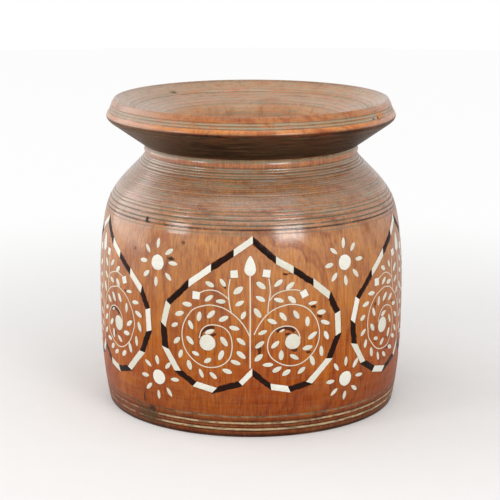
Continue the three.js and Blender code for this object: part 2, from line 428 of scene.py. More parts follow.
@dataclass(frozen=True)
class Wall:
    """The turned outside of the pot from its foot to its neck, in millimetres.

    The inlay is bent round this wall, so it stands a hair inside the CAD wall.
    """

    foot_radius: float = 138.6
    belly_radius: float = 146.2
    belly_rise: float = 110.0
    belly_roundness: float = 3.0
    belly_reach: float = 30.0
    shoulder_radius: float = 137.8
    shoulder_rise: float = 192.0
    shoulder_lean: float = 0.32
    shoulder_reach_down: float = 18.0
    shoulder_reach_up: float = 22.0
    neck_radius: float = 101.4
    neck_rise: float = 240.0
    neck_lean: float = 0.2
    neck_reach: float = 8.0
    skin: float = 0.1
    steps: int = 160
    outline: list[Point] = field(default_factory=list)

    def __post_init__(self) -> None:
        """Works the outline out once, as rises and radii."""
        swell = self.belly_radius - self.foot_radius
        for number in range(self.steps):
            rise = self.belly_rise * number / self.steps
            share = (self.belly_rise - rise) / self.belly_rise
            self.outline.append((rise, self.belly_radius - swell * share**self.belly_roundness - self.skin))
        shoulder = (
            (self.belly_radius, self.belly_rise),
            (self.belly_radius, self.belly_rise + self.belly_reach),
            (
                self.shoulder_radius + self.shoulder_lean * self.shoulder_reach_down,
                self.shoulder_rise - self.shoulder_reach_down,
            ),
            (self.shoulder_radius, self.shoulder_rise),
        )
        neck = (
            (self.shoulder_radius, self.shoulder_rise),
            (
                self.shoulder_radius - self.shoulder_lean * self.shoulder_reach_up,
                self.shoulder_rise + self.shoulder_reach_up,
            ),
            (self.neck_radius + self.neck_lean * self.neck_reach, self.neck_rise - self.neck_reach),
            (self.neck_radius, self.neck_rise),
        )
        for curve in (shoulder, neck):
            for number in range(self.steps):
                radius, rise = cubic(curve, number / self.steps)
                self.outline.append((rise, radius - self.skin))
        self.outline.append((self.neck_rise, self.neck_radius - self.skin))

    def radius(self, rise: float) -> float:
        """Gives the wall's radius at a height.

        Args:
            rise: The height above the table, in millimetres.

        Returns:
            The radius in millimetres.
        """
        return read_off(self.outline, rise)


def make_piece(
    name: str, shape: bmesh.types.BMesh, material: bpy.types.Material, nodes: Sequence[str]
) -> bpy.types.Object:
    """Makes a finished piece of a shape and hangs it on the frame.

    Args:
        name: The piece's name.
        shape: Its mesh, in metres and in place; it is used up.
        material: Its material.
        nodes: The CAD nodes that it stands for.

    Returns:
        The piece.
    """
    mesh = bpy.data.meshes.new(name)
    shape.to_mesh(mesh)
    shape.free()
    mesh.shade_smooth()
    mesh.set_sharp_from_angle(angle=SHARP_ANGLE)
    mesh.materials.append(material)
    piece = bpy.data.objects.new(name, mesh)
    bpy.context.scene.collection.objects.link(piece)
    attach(piece, "root")
    if nodes:
        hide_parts(*nodes)
    LOG.info("%s: %d faces, stands for %s", name, len(mesh.polygons), ", ".join(nodes) or "no node")
    return piece


@dataclass(frozen=True)
class ScoreLine:
    """One line that is cut, filled or worn round the turned wood.

    Attributes:
        at: Its place along the profile, in millimetres.
        width: Its width.
        depth: How deep it is cut; below 0 it stands proud.
        residue: How much pale filling lies in it, 0 to 1.
        shade: How dark it is, 0 to 1.
    """

    at: float
    width: float
    depth: float
    residue: float
    shade: float

    def share(self, along: float) -> float:
        """Gives how much of the line there is at a place, 1 at its middle."""
        off = min(max(2 * abs(along - self.at) / self.width - 0.5, 0.0) / 0.5, 1.0)
        return 1 - off * off * (3 - 2 * off)


@dataclass
class TurnedPot:
    """The pot itself: one turned profile, spun into foot, belly, shoulder, neck, rim and hollow.

    Sizes are in millimetres. An outside line is its rise, width, depth, residue and shade, and a line of the
    dish its radius, residue and shade. The mesh is plain between foot and plain_rise, apart from the lines,
    and past plain_radius; ring_places are the places of a line's own rings, as shares of its width.
    """

    wall: Wall
    foot_edge: float = 1.2
    sides: int = 176
    base_pace: float = 5.0
    bead_radius: float = 102.2
    bead_rise: float = 243.0
    spring_radius: float = 104.0
    spring_rise: float = 249.5
    rim_radius: float = 137.3
    rim_rise: float = 276.0
    lip_radius: float = 129.4
    lip_rise: float = 291.5
    ridge_radius: float = 112.0
    ridge_rise: float = 283.6
    throat_radius: float = 80.4
    throat_top: float = 80.5
    floor_rise: float = 22.0
    floor_plain: float = 100.0
    plain_rise: float = 239.5
    plain_radius: float = 81.0
    ring_places: tuple[float, ...] = (-0.5, -0.37, -0.24, 0.24, 0.37, 0.5)
    ring_gap: float = 0.16
    outside_lines: tuple[tuple[float, ...], ...] = (
        (8.0, 2.5, 0.32, 1.0, 0.0), (6.1, 1.3, 0.15, 0.0, 0.9), (9.8, 1.2, 0.15, 0.0, 0.9),
        (14.1, 2.3, 0.32, 0.95, 0.0), (12.4, 1.2, 0.15, 0.0, 0.85), (15.8, 1.2, 0.15, 0.0, 0.85),
        # painted contact shadow: the line at a rise of 2.0 darkens the foot's lowest edge
        (20.5, 2.1, 0.25, 0.6, 0.6), (2.0, 2.2, 0.1, 0.0, 0.6), (33.5, 0.9, 0.04, 0.0, 0.22),
        (188.6, 1.3, 0.05, 0.4, 0.2), (192.0, 1.7, 0.6, 0.2, 1.0), (195.5, 1.5, 0.3, 0.8, 0.6),
        (197.3, 1.6, -0.15, 0.0, 0.0), (199.7, 1.8, 0.3, 0.8, 0.55), (203.6, 1.4, 0.22, 0.7, 0.45),
        (206.4, 1.3, 0.2, 0.7, 0.3), (232.0, 1.5, 0.2, 0.6, 0.4), (234.2, 1.3, 0.16, 0.8, 0.0),
        (236.4, 1.6, 0.22, 0.6, 0.45), (238.5, 1.2, 0.12, 0.8, 0.0), (240.2, 1.3, 0.16, 0.5, 0.5),
        (246.3, 2.4, 0.1, 0.7, 0.0), (248.6, 1.6, 0.1, 0.0, 0.9), (280.6, 1.2, 0.25, 0.6, 0.45),
        (281.9, 1.3, 0.2, 0.9, 0.0), (283.3, 1.3, 0.25, 0.7, 0.55), (284.7, 1.3, 0.2, 0.9, 0.0),
        (286.0, 1.1, 0.25, 0.3, 0.35),
    )
    dish_line_width: float = 1.4
    dish_line_depth: float = 0.15
    dish_lines: tuple[Place, ...] = (
        (127.0, 0.1, 0.35), (124.2, 0.3, 0.2), (119.0, 0.3, 0.15), (114.4, 0.65, 0.2), (110.4, 0.6, 0.35),
        (107.4, 0.35, 0.15), (103.0, 0.25, 0.2), (97.4, 0.4, 0.1), (91.0, 0.2, 0.25), (86.0, 0.25, 0.2),
    )
    path: list[Place] = field(default_factory=list)

    def profile(self) -> list[Point]:
        """Gives the corner points of half a section through the pot.

        Returns:
            Radius and height of each point, from the middle of the underside round to the floor's middle.
        """
        skin = self.wall.skin
        foot = self.wall.foot_radius
        under = [(0.0, 0.0), (60.0, 0.0), (foot - self.foot_edge, 0.0), (foot - 0.3, 0.35)]
        side = [(radius, rise) for rise, radius in self.wall.outline if rise >= self.foot_edge]
        neck = [(101.7 - skin, 241.6), (self.bead_radius - skin, self.bead_rise), (101.9 - skin, 244.4)]
        spring = [(101.4 - skin, 246.2), (102.2 - skin, 248.2), (self.spring_radius, self.spring_rise)]
        flare = [(117.4, 259.0), (131.9, 269.3), (134.4, 271.1), (136.2, 272.9), (137.0, 274.5)]
        edge = [(self.rim_radius - 0.05, self.rim_rise), (136.8, 277.7), (136.0, 278.9)]
        band = [(135.3, 280.0), (134.9, 280.4), (133.9, 283.0), (132.7, 285.8), (132.8, 286.3)]
        lip = [(132.4, 287.1), (131.6, 288.6), (130.7, 290.2), (130.1, 291.1), (self.lip_radius, self.lip_rise)]
        inner = [(128.3, 291.4), (127.2, 290.6), (120.5, 286.9), (114.2, 283.7), (112.9, 283.1)]
        ridge = [(self.ridge_radius, self.ridge_rise), (111.1, 282.5), (110.0, 281.7)]
        dish = [(98.0, 277.9), (90.0, 275.1), (86.6, 273.7), (84.0, 272.0), (82.0, 269.4)]
        throat = [(80.8, 266.0), (self.throat_radius, 262.0), (self.throat_radius, 228.2)]
        hollow = [(97.4, 211.4), (114.3, 194.3), (122.5, 168.5), (125.5, 136.0), (126.2, 103.0)]
        bottom = [(125.8, 69.0), (123.9, 38.0), (121.6, 30.5), (116.5, 25.0), (109.5, 22.4), (100.0, 22.0)]
        return [
            *under, *side, *neck, *spring, *flare, *edge, *band, *lip,
            *inner, *ridge, *dish, *throat, *hollow, *bottom, (50.0, self.floor_rise), (0.0, self.floor_rise),
        ]

    def measure(self) -> None:
        """Measures how far along the profile each of its points is."""
        along = 0.0
        before: Optional[Point] = None
        for point in self.profile():
            along += math.dist(before, point) if before else 0.0
            self.path.append((along, *point))
            before = point

    @property
    def length(self) -> float:
        """Gives the profile's whole length in millimetres."""
        return self.path[-1][0]

    def at_rise(self, rise: float) -> float:
        """Finds a height on the outside of the pot.

        Args:
            rise: The height in millimetres.

        Returns:
            How far along the profile it is.
        """
        for (start, _, low), (end, _, high) in zip(self.path[2:], self.path[3:]):
            if low <= rise <= high and high > low:
                return start + (end - start) * (rise - low) / (high - low)
        raise ValueError(f"the outside has no height of {rise} mm")

    def at_radius(self, radius: float) -> float:
        """Finds a radius on the dish inside the lip.

        Args:
            radius: The radius in millimetres.

        Returns:
            How far along the profile it is.
        """
        lip = self.at_rise(self.lip_rise)
        for (start, outer, _), (end, inner, _) in zip(self.path, self.path[1:]):
            if start >= lip - 0.01 and inner <= radius <= outer and inner < outer:
                return start + (end - start) * (outer - radius) / (outer - inner)
        raise ValueError(f"the dish has no radius of {radius} mm")

    def spot(self, along: float) -> tuple[float, float, float, float]:
        """Finds a place on the profile and which way is out there.

        Args:
            along: How far along the profile, in millimetres.

        Returns:
            Radius, height, and the two parts of the outward direction.
        """
        after = min(max(bisect_right(self.path, along, key=itemgetter(0)), 1), len(self.path) - 1)
        (start, r0, z0), (end, r1, z1) = self.path[after - 1], self.path[after]
        share = (along - start) / (end - start)
        run = math.hypot(r1 - r0, z1 - z0)
        return r0 + (r1 - r0) * share, z0 + (z1 - z0) * share, (z1 - z0) / run, -(r1 - r0) / run

    def lines(self) -> list[ScoreLine]:
        """Lists the lines round the pot, the measured ones first and then the fine tool marks.

        Returns:
            The lines.
        """
        chance = random.Random("tool marks")
        up, down = self.at_rise, self.at_radius
        made = [ScoreLine(up(rise), *sizes) for rise, *sizes in self.outside_lines]
        sizes = (self.dish_line_width, self.dish_line_depth)
        made += [ScoreLine(down(radius), *sizes, *looks) for radius, *looks in self.dish_lines]
        # from, to, width, gaps between them, and the spans of depth, residue and shade
        for start, end, width, gaps, *spans in (
            (up(208.5), up(230.5), 1.3, (1.3, 3.0), (0.02, 0.1), (0.0, 0.55), (0.0, 0.35)),
            (up(250.5), up(274.0), 1.4, (1.6, 3.4), (0.03, 0.12), (0.0, 0.25), (0.1, 0.5)),
            (down(128.0), down(84.0), 1.2, (1.8, 4.2), (0.01, 0.06), (0.0, 0.3), (0.0, 0.25)),
        ):
            along = start
            while along < end:
                made.append(ScoreLine(along, width, *(chance.uniform(*span) for span in spans)))
                along += chance.uniform(*gaps)
        return made

    def patina_stops(self) -> list[tuple[float, float]]:
        """Gives how greyed the wood is along the profile.

        Returns:
            Places along the profile and the shares of grey there.
        """
        outside = (
            (10.0, 0.1), (185.0, 0.08), (194.0, 0.6), (201.0, 0.8), (228.0, 0.75), (231.0, 0.95), (239.8, 0.95),
            (240.8, 0.15), (244.2, 0.15), (245.2, 0.7), (248.0, 0.7), (250.0, 0.2), (274.0, 0.45), (277.0, 0.1),
            (279.6, 0.2), (280.6, 0.9), (285.8, 0.9), (287.0, 0.2), (291.0, 0.2),
        )
        dish = ((124.0, 0.6), (113.0, 0.85), (106.0, 0.75), (82.0, 0.7))
        throat = self.at_radius(self.throat_top)
        return [
            (0.0, 0.0), *((self.at_rise(rise), share) for rise, share in outside),
            *((self.at_radius(radius), share) for radius, share in dish),
            (throat + 24, 0.6), (throat + 60, 0.1), (self.length, 0.1),
        ]

    def rings(self, lines: Sequence[ScoreLine]) -> list[float]:
        """Chooses where the mesh has its rings.

        Args:
            lines: The lines round the pot, each of which needs rings of its own.

        Returns:
            The rings' places along the profile, in order.
        """
        outside, inside = self.at_rise(self.foot_edge), self.at_radius(self.plain_radius)
        neck = self.at_rise(self.plain_rise)
        wanted = {along for along, _, _ in self.path if along < outside or along > neck}
        wanted |= {line.at + share * line.width for line in lines for share in self.ring_places}
        for start, end, pace in (
            (outside, neck, self.base_pace), (inside, self.length - self.floor_plain, 2.5 * self.base_pace),
        ):
            along = start
            while along < end:
                wanted.add(along)
                along += pace
        kept = [0.0]
        for along in sorted(wanted):
            if along - kept[-1] > self.ring_gap and along < self.length - 0.2:
                kept.append(along)
        return [*kept, self.length]

    def build(self, material: bpy.types.Material) -> bpy.types.Object:
        """Spins the profile into the pot.

        Args:
            material: The lacquered wood.

        Returns:
            The finished piece.
        """
        lines = self.lines()
        patina = self.patina_stops()
        shape = bmesh.new()
        marks = {name: shape.verts.layers.float.new(name) for name in PROFILE_LAYERS}
        chain = []
        for along in self.rings(lines):
            radius, rise, out, up = self.spot(along)
            near = [(line, line.share(along)) for line in lines if abs(line.at - along) < line.width / 2]
            depth = sum(line.depth * share for line, share in near)
            ring = shape.verts.new(((radius - depth * out) * MM, 0.0, (rise - depth * up) * MM))
            ring[marks["along"]] = along / self.length
            ring[marks["residue"]] = max((line.residue * share for line, share in near), default=0.0)
            ring[marks["shade"]] = max((line.shade * share for line, share in near), default=0.0)
            ring[marks["patina"]] = read_off(patina, along)
            chain.append(ring)
        edges = [shape.edges.new(pair) for pair in zip(chain, chain[1:])]
        bmesh.ops.spin(
            shape, geom=chain + edges, cent=(0, 0, 0), axis=(0, 0, 1), angle=2 * math.pi,
            steps=self.sides, use_merge=True, use_duplicate=False,
        )
        bmesh.ops.remove_doubles(shape, verts=shape.verts, dist=MERGED)
        bmesh.ops.recalc_face_normals(shape, faces=shape.faces)
        return make_piece("turned_pot", shape, material, ["pot_body"])


@dataclass
class InlaySheet:
    """Pieces that are cut flat and then bent round the wall, all of one material.

    Attributes:
        wall: The wall that they lie in.
        turn: How far round the pot the sheet's middle stands, in radians.
        proud: How far they stand out of the wood, in millimetres.
        depth: How thick they are below that.
        eased: How far their upper edges are rounded off.
        level_pace: How much further apart the level cuts are than the upright ones.
        cut_slack: How near a cut a point counts as on it.
        cut_off: How far the cuts are moved off the even millimetres, on which many points lie.
        shape: The mesh that they are cut in.
    """

    wall: Wall
    turn: float
    proud: float
    depth: float = 0.6
    eased: float = 0.05
    level_pace: float = 1.3
    cut_slack: float = 0.02
    cut_off: float = 0.003
    shape: bmesh.types.BMesh = field(default_factory=bmesh.new)

    def __post_init__(self) -> None:
        """Gives the mesh the attributes that the finishes read."""
        self.shape.verts.layers.float_vector.new("cut")
        self.shape.verts.layers.float.new("tone")

    def mark(
        self, verts: Sequence[bmesh.types.BMVert], places: Sequence[Point], tone: float, number: float
    ) -> None:
        """Notes on each point where it is on its own piece.

        Args:
            verts: The piece's points.
            places: Length and breadth of each point on the piece, in millimetres.
            tone: The piece's own shade, 0 to 1.
            number: A number that tells the piece from the others.
        """
        cut = self.shape.verts.layers.float_vector["cut"]
        shade = self.shape.verts.layers.float["tone"]
        for vert, (length, breadth) in zip(verts, places):
            vert[cut] = (length, breadth, number)
            vert[shade] = tone

    def blank(
        self, centre: Point, angle: float, corners: int, form: Callable[[float], Point], tone: float,
        number: float,
    ) -> None:
        """Cuts a piece from a round blank and lays it in place.

        Args:
            centre: Where its middle lies along the wall and up it.
            angle: How far it is turned, in degrees.
            corners: How many corners the blank has.
            form: Gives the outline's place for each bearing round the blank.
            tone: The piece's own shade, 0 to 1.
            number: A number that tells the piece from the others.
        """
        verts = bmesh.ops.create_circle(self.shape, cap_ends=True, radius=1, segments=corners)["verts"]
        for vert in verts:
            vert.co.x, vert.co.y = form(math.atan2(vert.co.y, vert.co.x))
        self.mark(verts, [(vert.co.x, vert.co.y) for vert in verts], tone, number)
        stand = Matrix.Translation((centre[0], 0, centre[1])) @ Matrix.Rotation(math.pi / 2, 4, "X")
        turned = stand @ Matrix.Rotation(math.radians(angle), 4, "Z")
        bmesh.ops.transform(self.shape, matrix=turned, verts=verts)

    def band(self, rails: Sequence[tuple[Point, Point]], tone: float, number: float) -> None:
        """Draws a band by extruding one edge from each pair of side points to the next.

        Args:
            rails: The band's two sides, pair by pair.
            tone: The piece's own shade, 0 to 1.
            number: A number that tells the piece from the others.
        """
        ends = [self.shape.verts.new((s, 0, z)) for s, z in rails[0]]
        edge = self.shape.edges.new(ends)
        run = 0.0
        breadth = math.dist(*rails[0])
        self.mark(ends, [(0.0, breadth / 2), (0.0, -breadth / 2)], tone, number)
        for before, after in zip(rails, rails[1:]):
            grown = bmesh.ops.extrude_edge_only(self.shape, edges=[edge])["geom"]
            fresh = [part for part in grown if isinstance(part, bmesh.types.BMVert)]
            fresh.sort(key=lambda vert: (vert.co - ends[0].co).length)
            edges = [part for part in grown if isinstance(part, bmesh.types.BMEdge)]
            edge = next(part for part in edges if set(part.verts) == set(fresh))
            run += math.dist(before[0], after[0])
            for vert, (s, z) in zip(fresh, after):
                vert.co = (s, 0, z)
            breadth = math.dist(*after)
            self.mark(fresh, [(run, breadth / 2), (run, -breadth / 2)], tone, number)
            ends = fresh

    def wire(self, knots: Sequence[Point], width: float, tone: float, number: float, pace: float = 1.9) -> None:
        """Lays a thin strip of even width along a smooth line.

        Args:
            knots: The points that the line goes through.
            width: The strip's width in millimetres.
            tone: The piece's own shade, 0 to 1.
            number: A number that tells the piece from the others.
            pace: How far apart its points are.
        """
        line = smooth_path(knots, pace)
        rails = []
        for place, here in enumerate(line):
            back, on = line[max(place - 1, 0)], line[min(place + 1, len(line) - 1)]
            length = math.dist(back, on)
            across = ((back[1] - on[1]) / length * width / 2, (on[0] - back[0]) / length * width / 2)
            rails.append(((here[0] + across[0], here[1] + across[1]), (here[0] - across[0], here[1] - across[1])))
        self.band(rails, tone, number)

    def cut_up(self, pace: float) -> None:
        """Cuts the flat pieces across, so that they can follow the round wall.

        Args:
            pace: The distance between the cuts in millimetres.
        """
        corners = [vert.co for vert in self.shape.verts]
        for axis, gap in ((0, pace), (2, pace * self.level_pace)):
            first = math.ceil(min(corner[axis] for corner in corners) / gap)
            last = math.floor(max(corner[axis] for corner in corners) / gap)
            normal = Vector((1, 0, 0)) if axis == 0 else Vector((0, 0, 1))
            for number in range(first, last + 1):
                bmesh.ops.bisect_plane(
                    self.shape, geom=[*self.shape.verts, *self.shape.edges, *self.shape.faces],
                    dist=self.cut_slack, plane_co=normal * (number * gap + self.cut_off), plane_no=normal,
                )

    def thicken(self) -> None:
        """Gives the flat pieces their thickness and eases their upper edges."""
        below = list(self.shape.verts)
        grown = bmesh.ops.extrude_face_region(self.shape, geom=self.shape.faces[:])["geom"]
        above = {part for part in grown if isinstance(part, bmesh.types.BMVert)}
        for vert in below:
            vert.co.y = self.depth
        for vert in above:
            vert.co.y = -self.proud
        if self.eased > 0:
            brink = [
                edge for edge in self.shape.edges
                if set(edge.verts) <= above and sum(set(face.verts) <= above for face in edge.link_faces) == 1
            ]
            bmesh.ops.bevel(
                self.shape, geom=brink, offset=self.eased, offset_type="OFFSET", segments=1,
                profile=0.5, affect="EDGES", material=-1, clamp_overlap=True,
            )

    def finish(
        self, name: str, material: bpy.types.Material, slot: Slot, nodes: Sequence[str] = (), pace: float = 4.0
    ) -> bpy.types.Object:
        """Bends the sheet round the wall and makes a piece of it.

        Args:
            name: The piece's name.
            material: Its material.
            slot: Not used.
            nodes: The CAD nodes that it stands for.
            pace: The distance between the cuts that let it bend; 0 for none.

        Returns:
            The finished piece.
        """
        if pace > 0:
            self.cut_up(pace)
        self.thicken()
        for vert in self.shape.verts:
            angle = vert.co.x / GIRTH_RADIUS + self.turn
            radius = (self.wall.radius(vert.co.z) - vert.co.y) * MM
            vert.co = (radius * math.sin(angle), -radius * math.cos(angle), vert.co.z * MM)
        bmesh.ops.recalc_face_normals(self.shape, faces=self.shape.faces)
        return make_piece(name, self.shape, material, nodes)


@dataclass(frozen=True)
class PanelPlace:
    """Where one heart panel stands on the pot.

    Attributes:
        number: The panel's number; 1 is the front and the next ones follow to its right.
        wall: The wall that it lies in.
        proud: How far bone stands out of the wood, in millimetres.
        tag_step: What a panel adds to the numbers of its pieces.
    """

    number: int
    wall: Wall
    proud: float = 0.07
    tag_step: float = 0.37

    @property
    def turn(self) -> float:
        """Gives how far round the pot the panel stands, in radians."""
        return (self.number - 1) * 2 * math.pi / PANEL_COUNT

    @property
    def is_front(self) -> bool:
        """Tells whether this is the panel that was measured."""
        return self.number == 1

    def chance(self, part: str) -> random.Random:
        """Starts a seeded run of chances for one part of the panel."""
        return random.Random(f"{part} of panel {self.number}")

    def sheet(self, proud: Optional[float] = None, eased: float = 0.05) -> InlaySheet:
        """Starts a flat sheet for the panel."""
        return InlaySheet(self.wall, self.turn, self.proud if proud is None else proud, eased=eased)

    def tag(self, number: float) -> float:
        """Makes a number that tells a piece of this panel from every other piece."""
        return number + self.tag_step * self.number

    def nodes(self, *names: str) -> list[str]:
        """Names the panel's own CAD nodes."""
        return [f"{name}_{self.number}" for name in names]


@dataclass(frozen=True)
class Joint:
    """A joint between two border strips.

    Attributes:
        at: Where the middle of the joint is.
        cut: Which way the joint's cut runs.
    """

    at: Point
    cut: Point


@dataclass(frozen=True)
class HeartBorder:
    """The border of a heart: bone and dark strips in turn, from the tip down both sides."""

    left_joints: tuple[Joint, ...] = (
        Joint((1.5, 184.0), (0.0, 1.0)), Joint((-15.6, 172.3), (0.0, 1.0)), Joint((-36.2, 158.5), (0.0, 1.0)),
        Joint((-57.0, 143.0), (0.0, 1.0)), Joint((-77.5, 123.0), (4.0, -3.0)), Joint((-83.0, 102.0), (5.0, -4.0)),
        Joint((-81.0, 80.6), (7.0, -2.0)), Joint((-68.5, 60.5), (6.5, 0.8)), Joint((-51.8, 50.0), (3.7, 4.3)),
        Joint((-33.2, 45.6), (4.4, 4.9)), Joint((-9.4, 53.0), (3.0, -3.2)), Joint((1.0, 64.2), (0.0, 1.0)),
    )
    right_joints: tuple[Joint, ...] = (
        Joint((1.7, 183.4), (0.0, 1.0)), Joint((22.4, 165.8), (0.0, 1.0)), Joint((38.3, 156.3), (0.4, 5.0)),
        Joint((57.0, 143.8), (0.0, 1.0)), Joint((73.0, 130.2), (1.3, 5.0)), Joint((81.4, 113.6), (5.0, 2.0)),
        Joint((82.5, 93.0), (5.0, 1.9)), Joint((73.2, 71.5), (5.7, -0.6)), Joint((53.4, 51.0), (5.0, -1.9)),
        Joint((34.6, 46.4), (1.8, -4.1)), Joint((17.8, 49.8), (0.6, -5.0)), Joint((1.3, 63.6), (0.0, 1.0)),
    )
    left_widths: tuple[float, ...] = (5.3, 5.6, 5.5, 5.1, 5.8, 6.2, 5.7, 5.5, 5.8, 5.4, 4.7)
    right_widths: tuple[float, ...] = (5.2, 5.9, 5.4, 6.0, 5.6, 5.9, 5.7, 5.8, 5.5, 5.8, 4.9)
    bone_rag: float = 0.12
    dark_rag: float = 0.5
    grown_rag: float = 0.35
    pace: float = 2.4
    right_tag: int = 20

    def strips(self, side: Side) -> tuple[tuple[Joint, ...], tuple[float, ...]]:
        """Gives one side's joints and widths."""
        return (self.left_joints, self.left_widths) if side is Side.LEFT else (self.right_joints, self.right_widths)

    @staticmethod
    def corners(joint: Joint, along: Point, width: float, grow: float) -> tuple[Point, Point]:
        """Finds where a joint's cut meets the two sides of a strip.

        Args:
            joint: The joint.
            along: Which way the strip runs, a unit vector.
            width: The strip's width.
            grow: How far the strip's sides are moved outwards.

        Returns:
            The corner on the strip's left side and the one on its right.
        """
        length = math.hypot(*joint.cut)
        cut = (joint.cut[0] / length, joint.cut[1] / length)
        lean = -cut[0] * along[1] + cut[1] * along[0]
        reach = (width / 2 + grow) / max(abs(lean), 0.4) * (1 if lean > 0 else -1)
        s, z = joint.at
        return (s + cut[0] * reach, z + cut[1] * reach), (s - cut[0] * reach, z - cut[1] * reach)

    def lay(self, sheet: InlaySheet, place: PanelPlace, dark: bool, grow: float = 0.0) -> None:
        """Lays the strips of one wood in the sheet.

        Args:
            sheet: The sheet that they are cut in.
            place: The panel.
            dark: Whether the dark strips are laid or the bone ones.
            grow: How far their sides are moved outwards, for what lies round them.
        """
        chance = place.chance(f"border {dark} {grow}")
        rag = (self.dark_rag if dark else self.bone_rag) + self.grown_rag * grow
        for side in Side:
            joints, widths = self.strips(side)
            for number, (start, end, width) in enumerate(zip(joints, joints[1:], widths)):
                if (number % 2 == 0) != (dark == (side is Side.RIGHT)):
                    continue
                length = math.dist(start.at, end.at)
                along = ((end.at[0] - start.at[0]) / length, (end.at[1] - start.at[1]) / length)
                first = self.corners(start, along, width, grow)
                last = self.corners(end, along, width, grow)
                steps = max(5, round(length / self.pace))
                rails = []
                for step in range(steps + 1):
                    share = step / steps
                    pair = []
                    for near, far, out in ((first[0], last[0], 1), (first[1], last[1], -1)):
                        off = out * chance.uniform(-rag, rag) * (0.4 if step in (0, steps) else 1.0)
                        pair.append((
                            near[0] + (far[0] - near[0]) * share - along[1] * off,
                            near[1] + (far[1] - near[1]) * share + along[0] * off,
                        ))
                    rails.append((pair[0], pair[1]))
                sheet.band(rails, chance.random(), place.tag(number + self.right_tag * (side is Side.RIGHT)))


@dataclass(frozen=True)
class Vines:
    """The stem of a heart, its two scrolls and its forked twigs, all thin strips.

    Behind the front panel their knots are shaken a little.
    """

    stem: tuple[Point, ...] = ((-0.8, 67.5), (-0.8, 95.0), (-0.7, 125.0), (-0.9, 153.5))
    stem_width: float = 1.24
    scroll_width: float = 1.05
    twig_width: float = 1.0
    shake: float = 0.55
    first_tag: int = 60
    left_scroll: tuple[Point, ...] = (
        (-1.0, 97.0), (-5.0, 105.0), (-10.0, 112.0), (-17.0, 118.3), (-25.0, 123.0), (-35.0, 125.0),
        (-43.0, 123.8), (-52.0, 120.0), (-58.0, 113.0), (-62.0, 105.0), (-63.5, 97.0), (-63.0, 90.0),
        (-61.0, 83.0), (-57.0, 77.0), (-51.0, 71.5), (-44.0, 68.0), (-37.0, 67.0), (-29.0, 68.5),
        (-23.0, 72.0), (-18.5, 78.0), (-16.8, 87.0), (-17.5, 95.0), (-20.0, 101.0), (-25.0, 105.3),
        (-33.0, 107.0), (-40.0, 105.5), (-45.0, 100.5), (-46.6, 93.8),
    )
    right_scroll: tuple[Point, ...] = (
        (2.6, 98.8), (5.0, 104.0), (9.0, 111.0), (15.0, 118.0), (22.0, 122.5), (30.0, 125.0), (37.0, 125.7),
        (46.0, 123.5), (53.0, 119.0), (59.0, 111.0), (62.0, 103.0), (62.8, 96.0), (61.5, 88.0),
        (57.0, 79.5), (50.0, 73.0), (44.0, 69.8), (38.0, 68.8), (31.0, 69.5), (24.0, 72.5),
        (18.0, 77.5), (15.0, 84.0), (14.8, 91.0), (17.0, 98.0), (22.0, 103.5), (30.0, 106.0),
        (38.0, 104.5), (42.5, 99.5), (44.2, 93.4),
    )
    left_twigs: tuple[tuple[Point, ...], ...] = (
        ((-17.3, 118.0), (-18.6, 124.0), (-19.5, 130.0), (-20.0, 140.0), (-18.5, 149.5)),
        ((-19.8, 131.0), (-24.0, 134.5), (-30.0, 137.8), (-36.0, 138.6), (-42.0, 137.5), (-46.4, 135.2)),
    )
    right_twigs: tuple[tuple[Point, ...], ...] = (
        ((14.7, 118.8), (15.5, 128.0), (17.0, 138.0), (15.8, 149.8)),
        ((16.5, 130.0), (20.0, 134.5), (26.0, 137.5), (34.0, 138.8), (41.0, 138.4), (44.6, 137.2)),
    )

    def lay(self, sheet: InlaySheet, place: PanelPlace, grow: float = 0.0) -> None:
        """Lays the strips in the sheet.

        Args:
            sheet: The sheet that they are cut in.
            place: The panel.
            grow: How much wider they are made, for what lies round them.
        """
        chance = place.chance("vines")
        lines = [
            (self.stem, self.stem_width), (self.left_scroll, self.scroll_width),
            (self.right_scroll, self.scroll_width), *((twig, self.twig_width) for twig in self.left_twigs),
            *((twig, self.twig_width) for twig in self.right_twigs),
        ]
        shake = 0.0 if place.is_front else self.shake
        for number, (knots, width) in enumerate(lines, self.first_tag):
            shaken = [
                (s + chance.uniform(-shake, shake), z + chance.uniform(-shake, shake))
                if 0 < spot < len(knots) - 1 else (s, z)
                for spot, (s, z) in enumerate(knots)
            ]
            sheet.wire(shaken, width + grow, 0.1 + 0.2 * chance.random(), place.tag(number))


@dataclass(frozen=True)
class Bud:
    """The drop at the head of the stem."""

    width: float = 10.5
    bottom: float = 152.3
    waist: float = 158.0
    tip: float = 170.2
    middle: float = -0.8
    taper: float = 0.26
    corners: int = 32
    first_tag: float = 70.5

    def lay(self, sheet: InlaySheet, place: PanelPlace, grow: float = 0.0) -> None:
        """Lays the drop in the sheet.

        Args:
            sheet: The sheet that it is cut in.
            place: The panel.
            grow: How far its outline is moved outwards.
        """
        chance = place.chance("bud")

        def form(bearing: float) -> Point:
            """Gives the drop's outline.

            Args:
                bearing: The bearing round its waist, in radians.

            Returns:
                The outline's place there.
            """
            across, up = math.cos(bearing), math.sin(bearing)
            taper = (1 - up) ** self.taper if up > 0 else 1.0
            rise = up * (self.tip - self.waist) if up > 0 else up * (self.waist - self.bottom)
            return across * taper * (self.width / 2 + grow), rise * (1 + grow / 8)

        tag = self.first_tag + place.number
        sheet.blank((self.middle, self.waist), chance.uniform(-1.5, 1.5), self.corners, form, 0.1, tag)


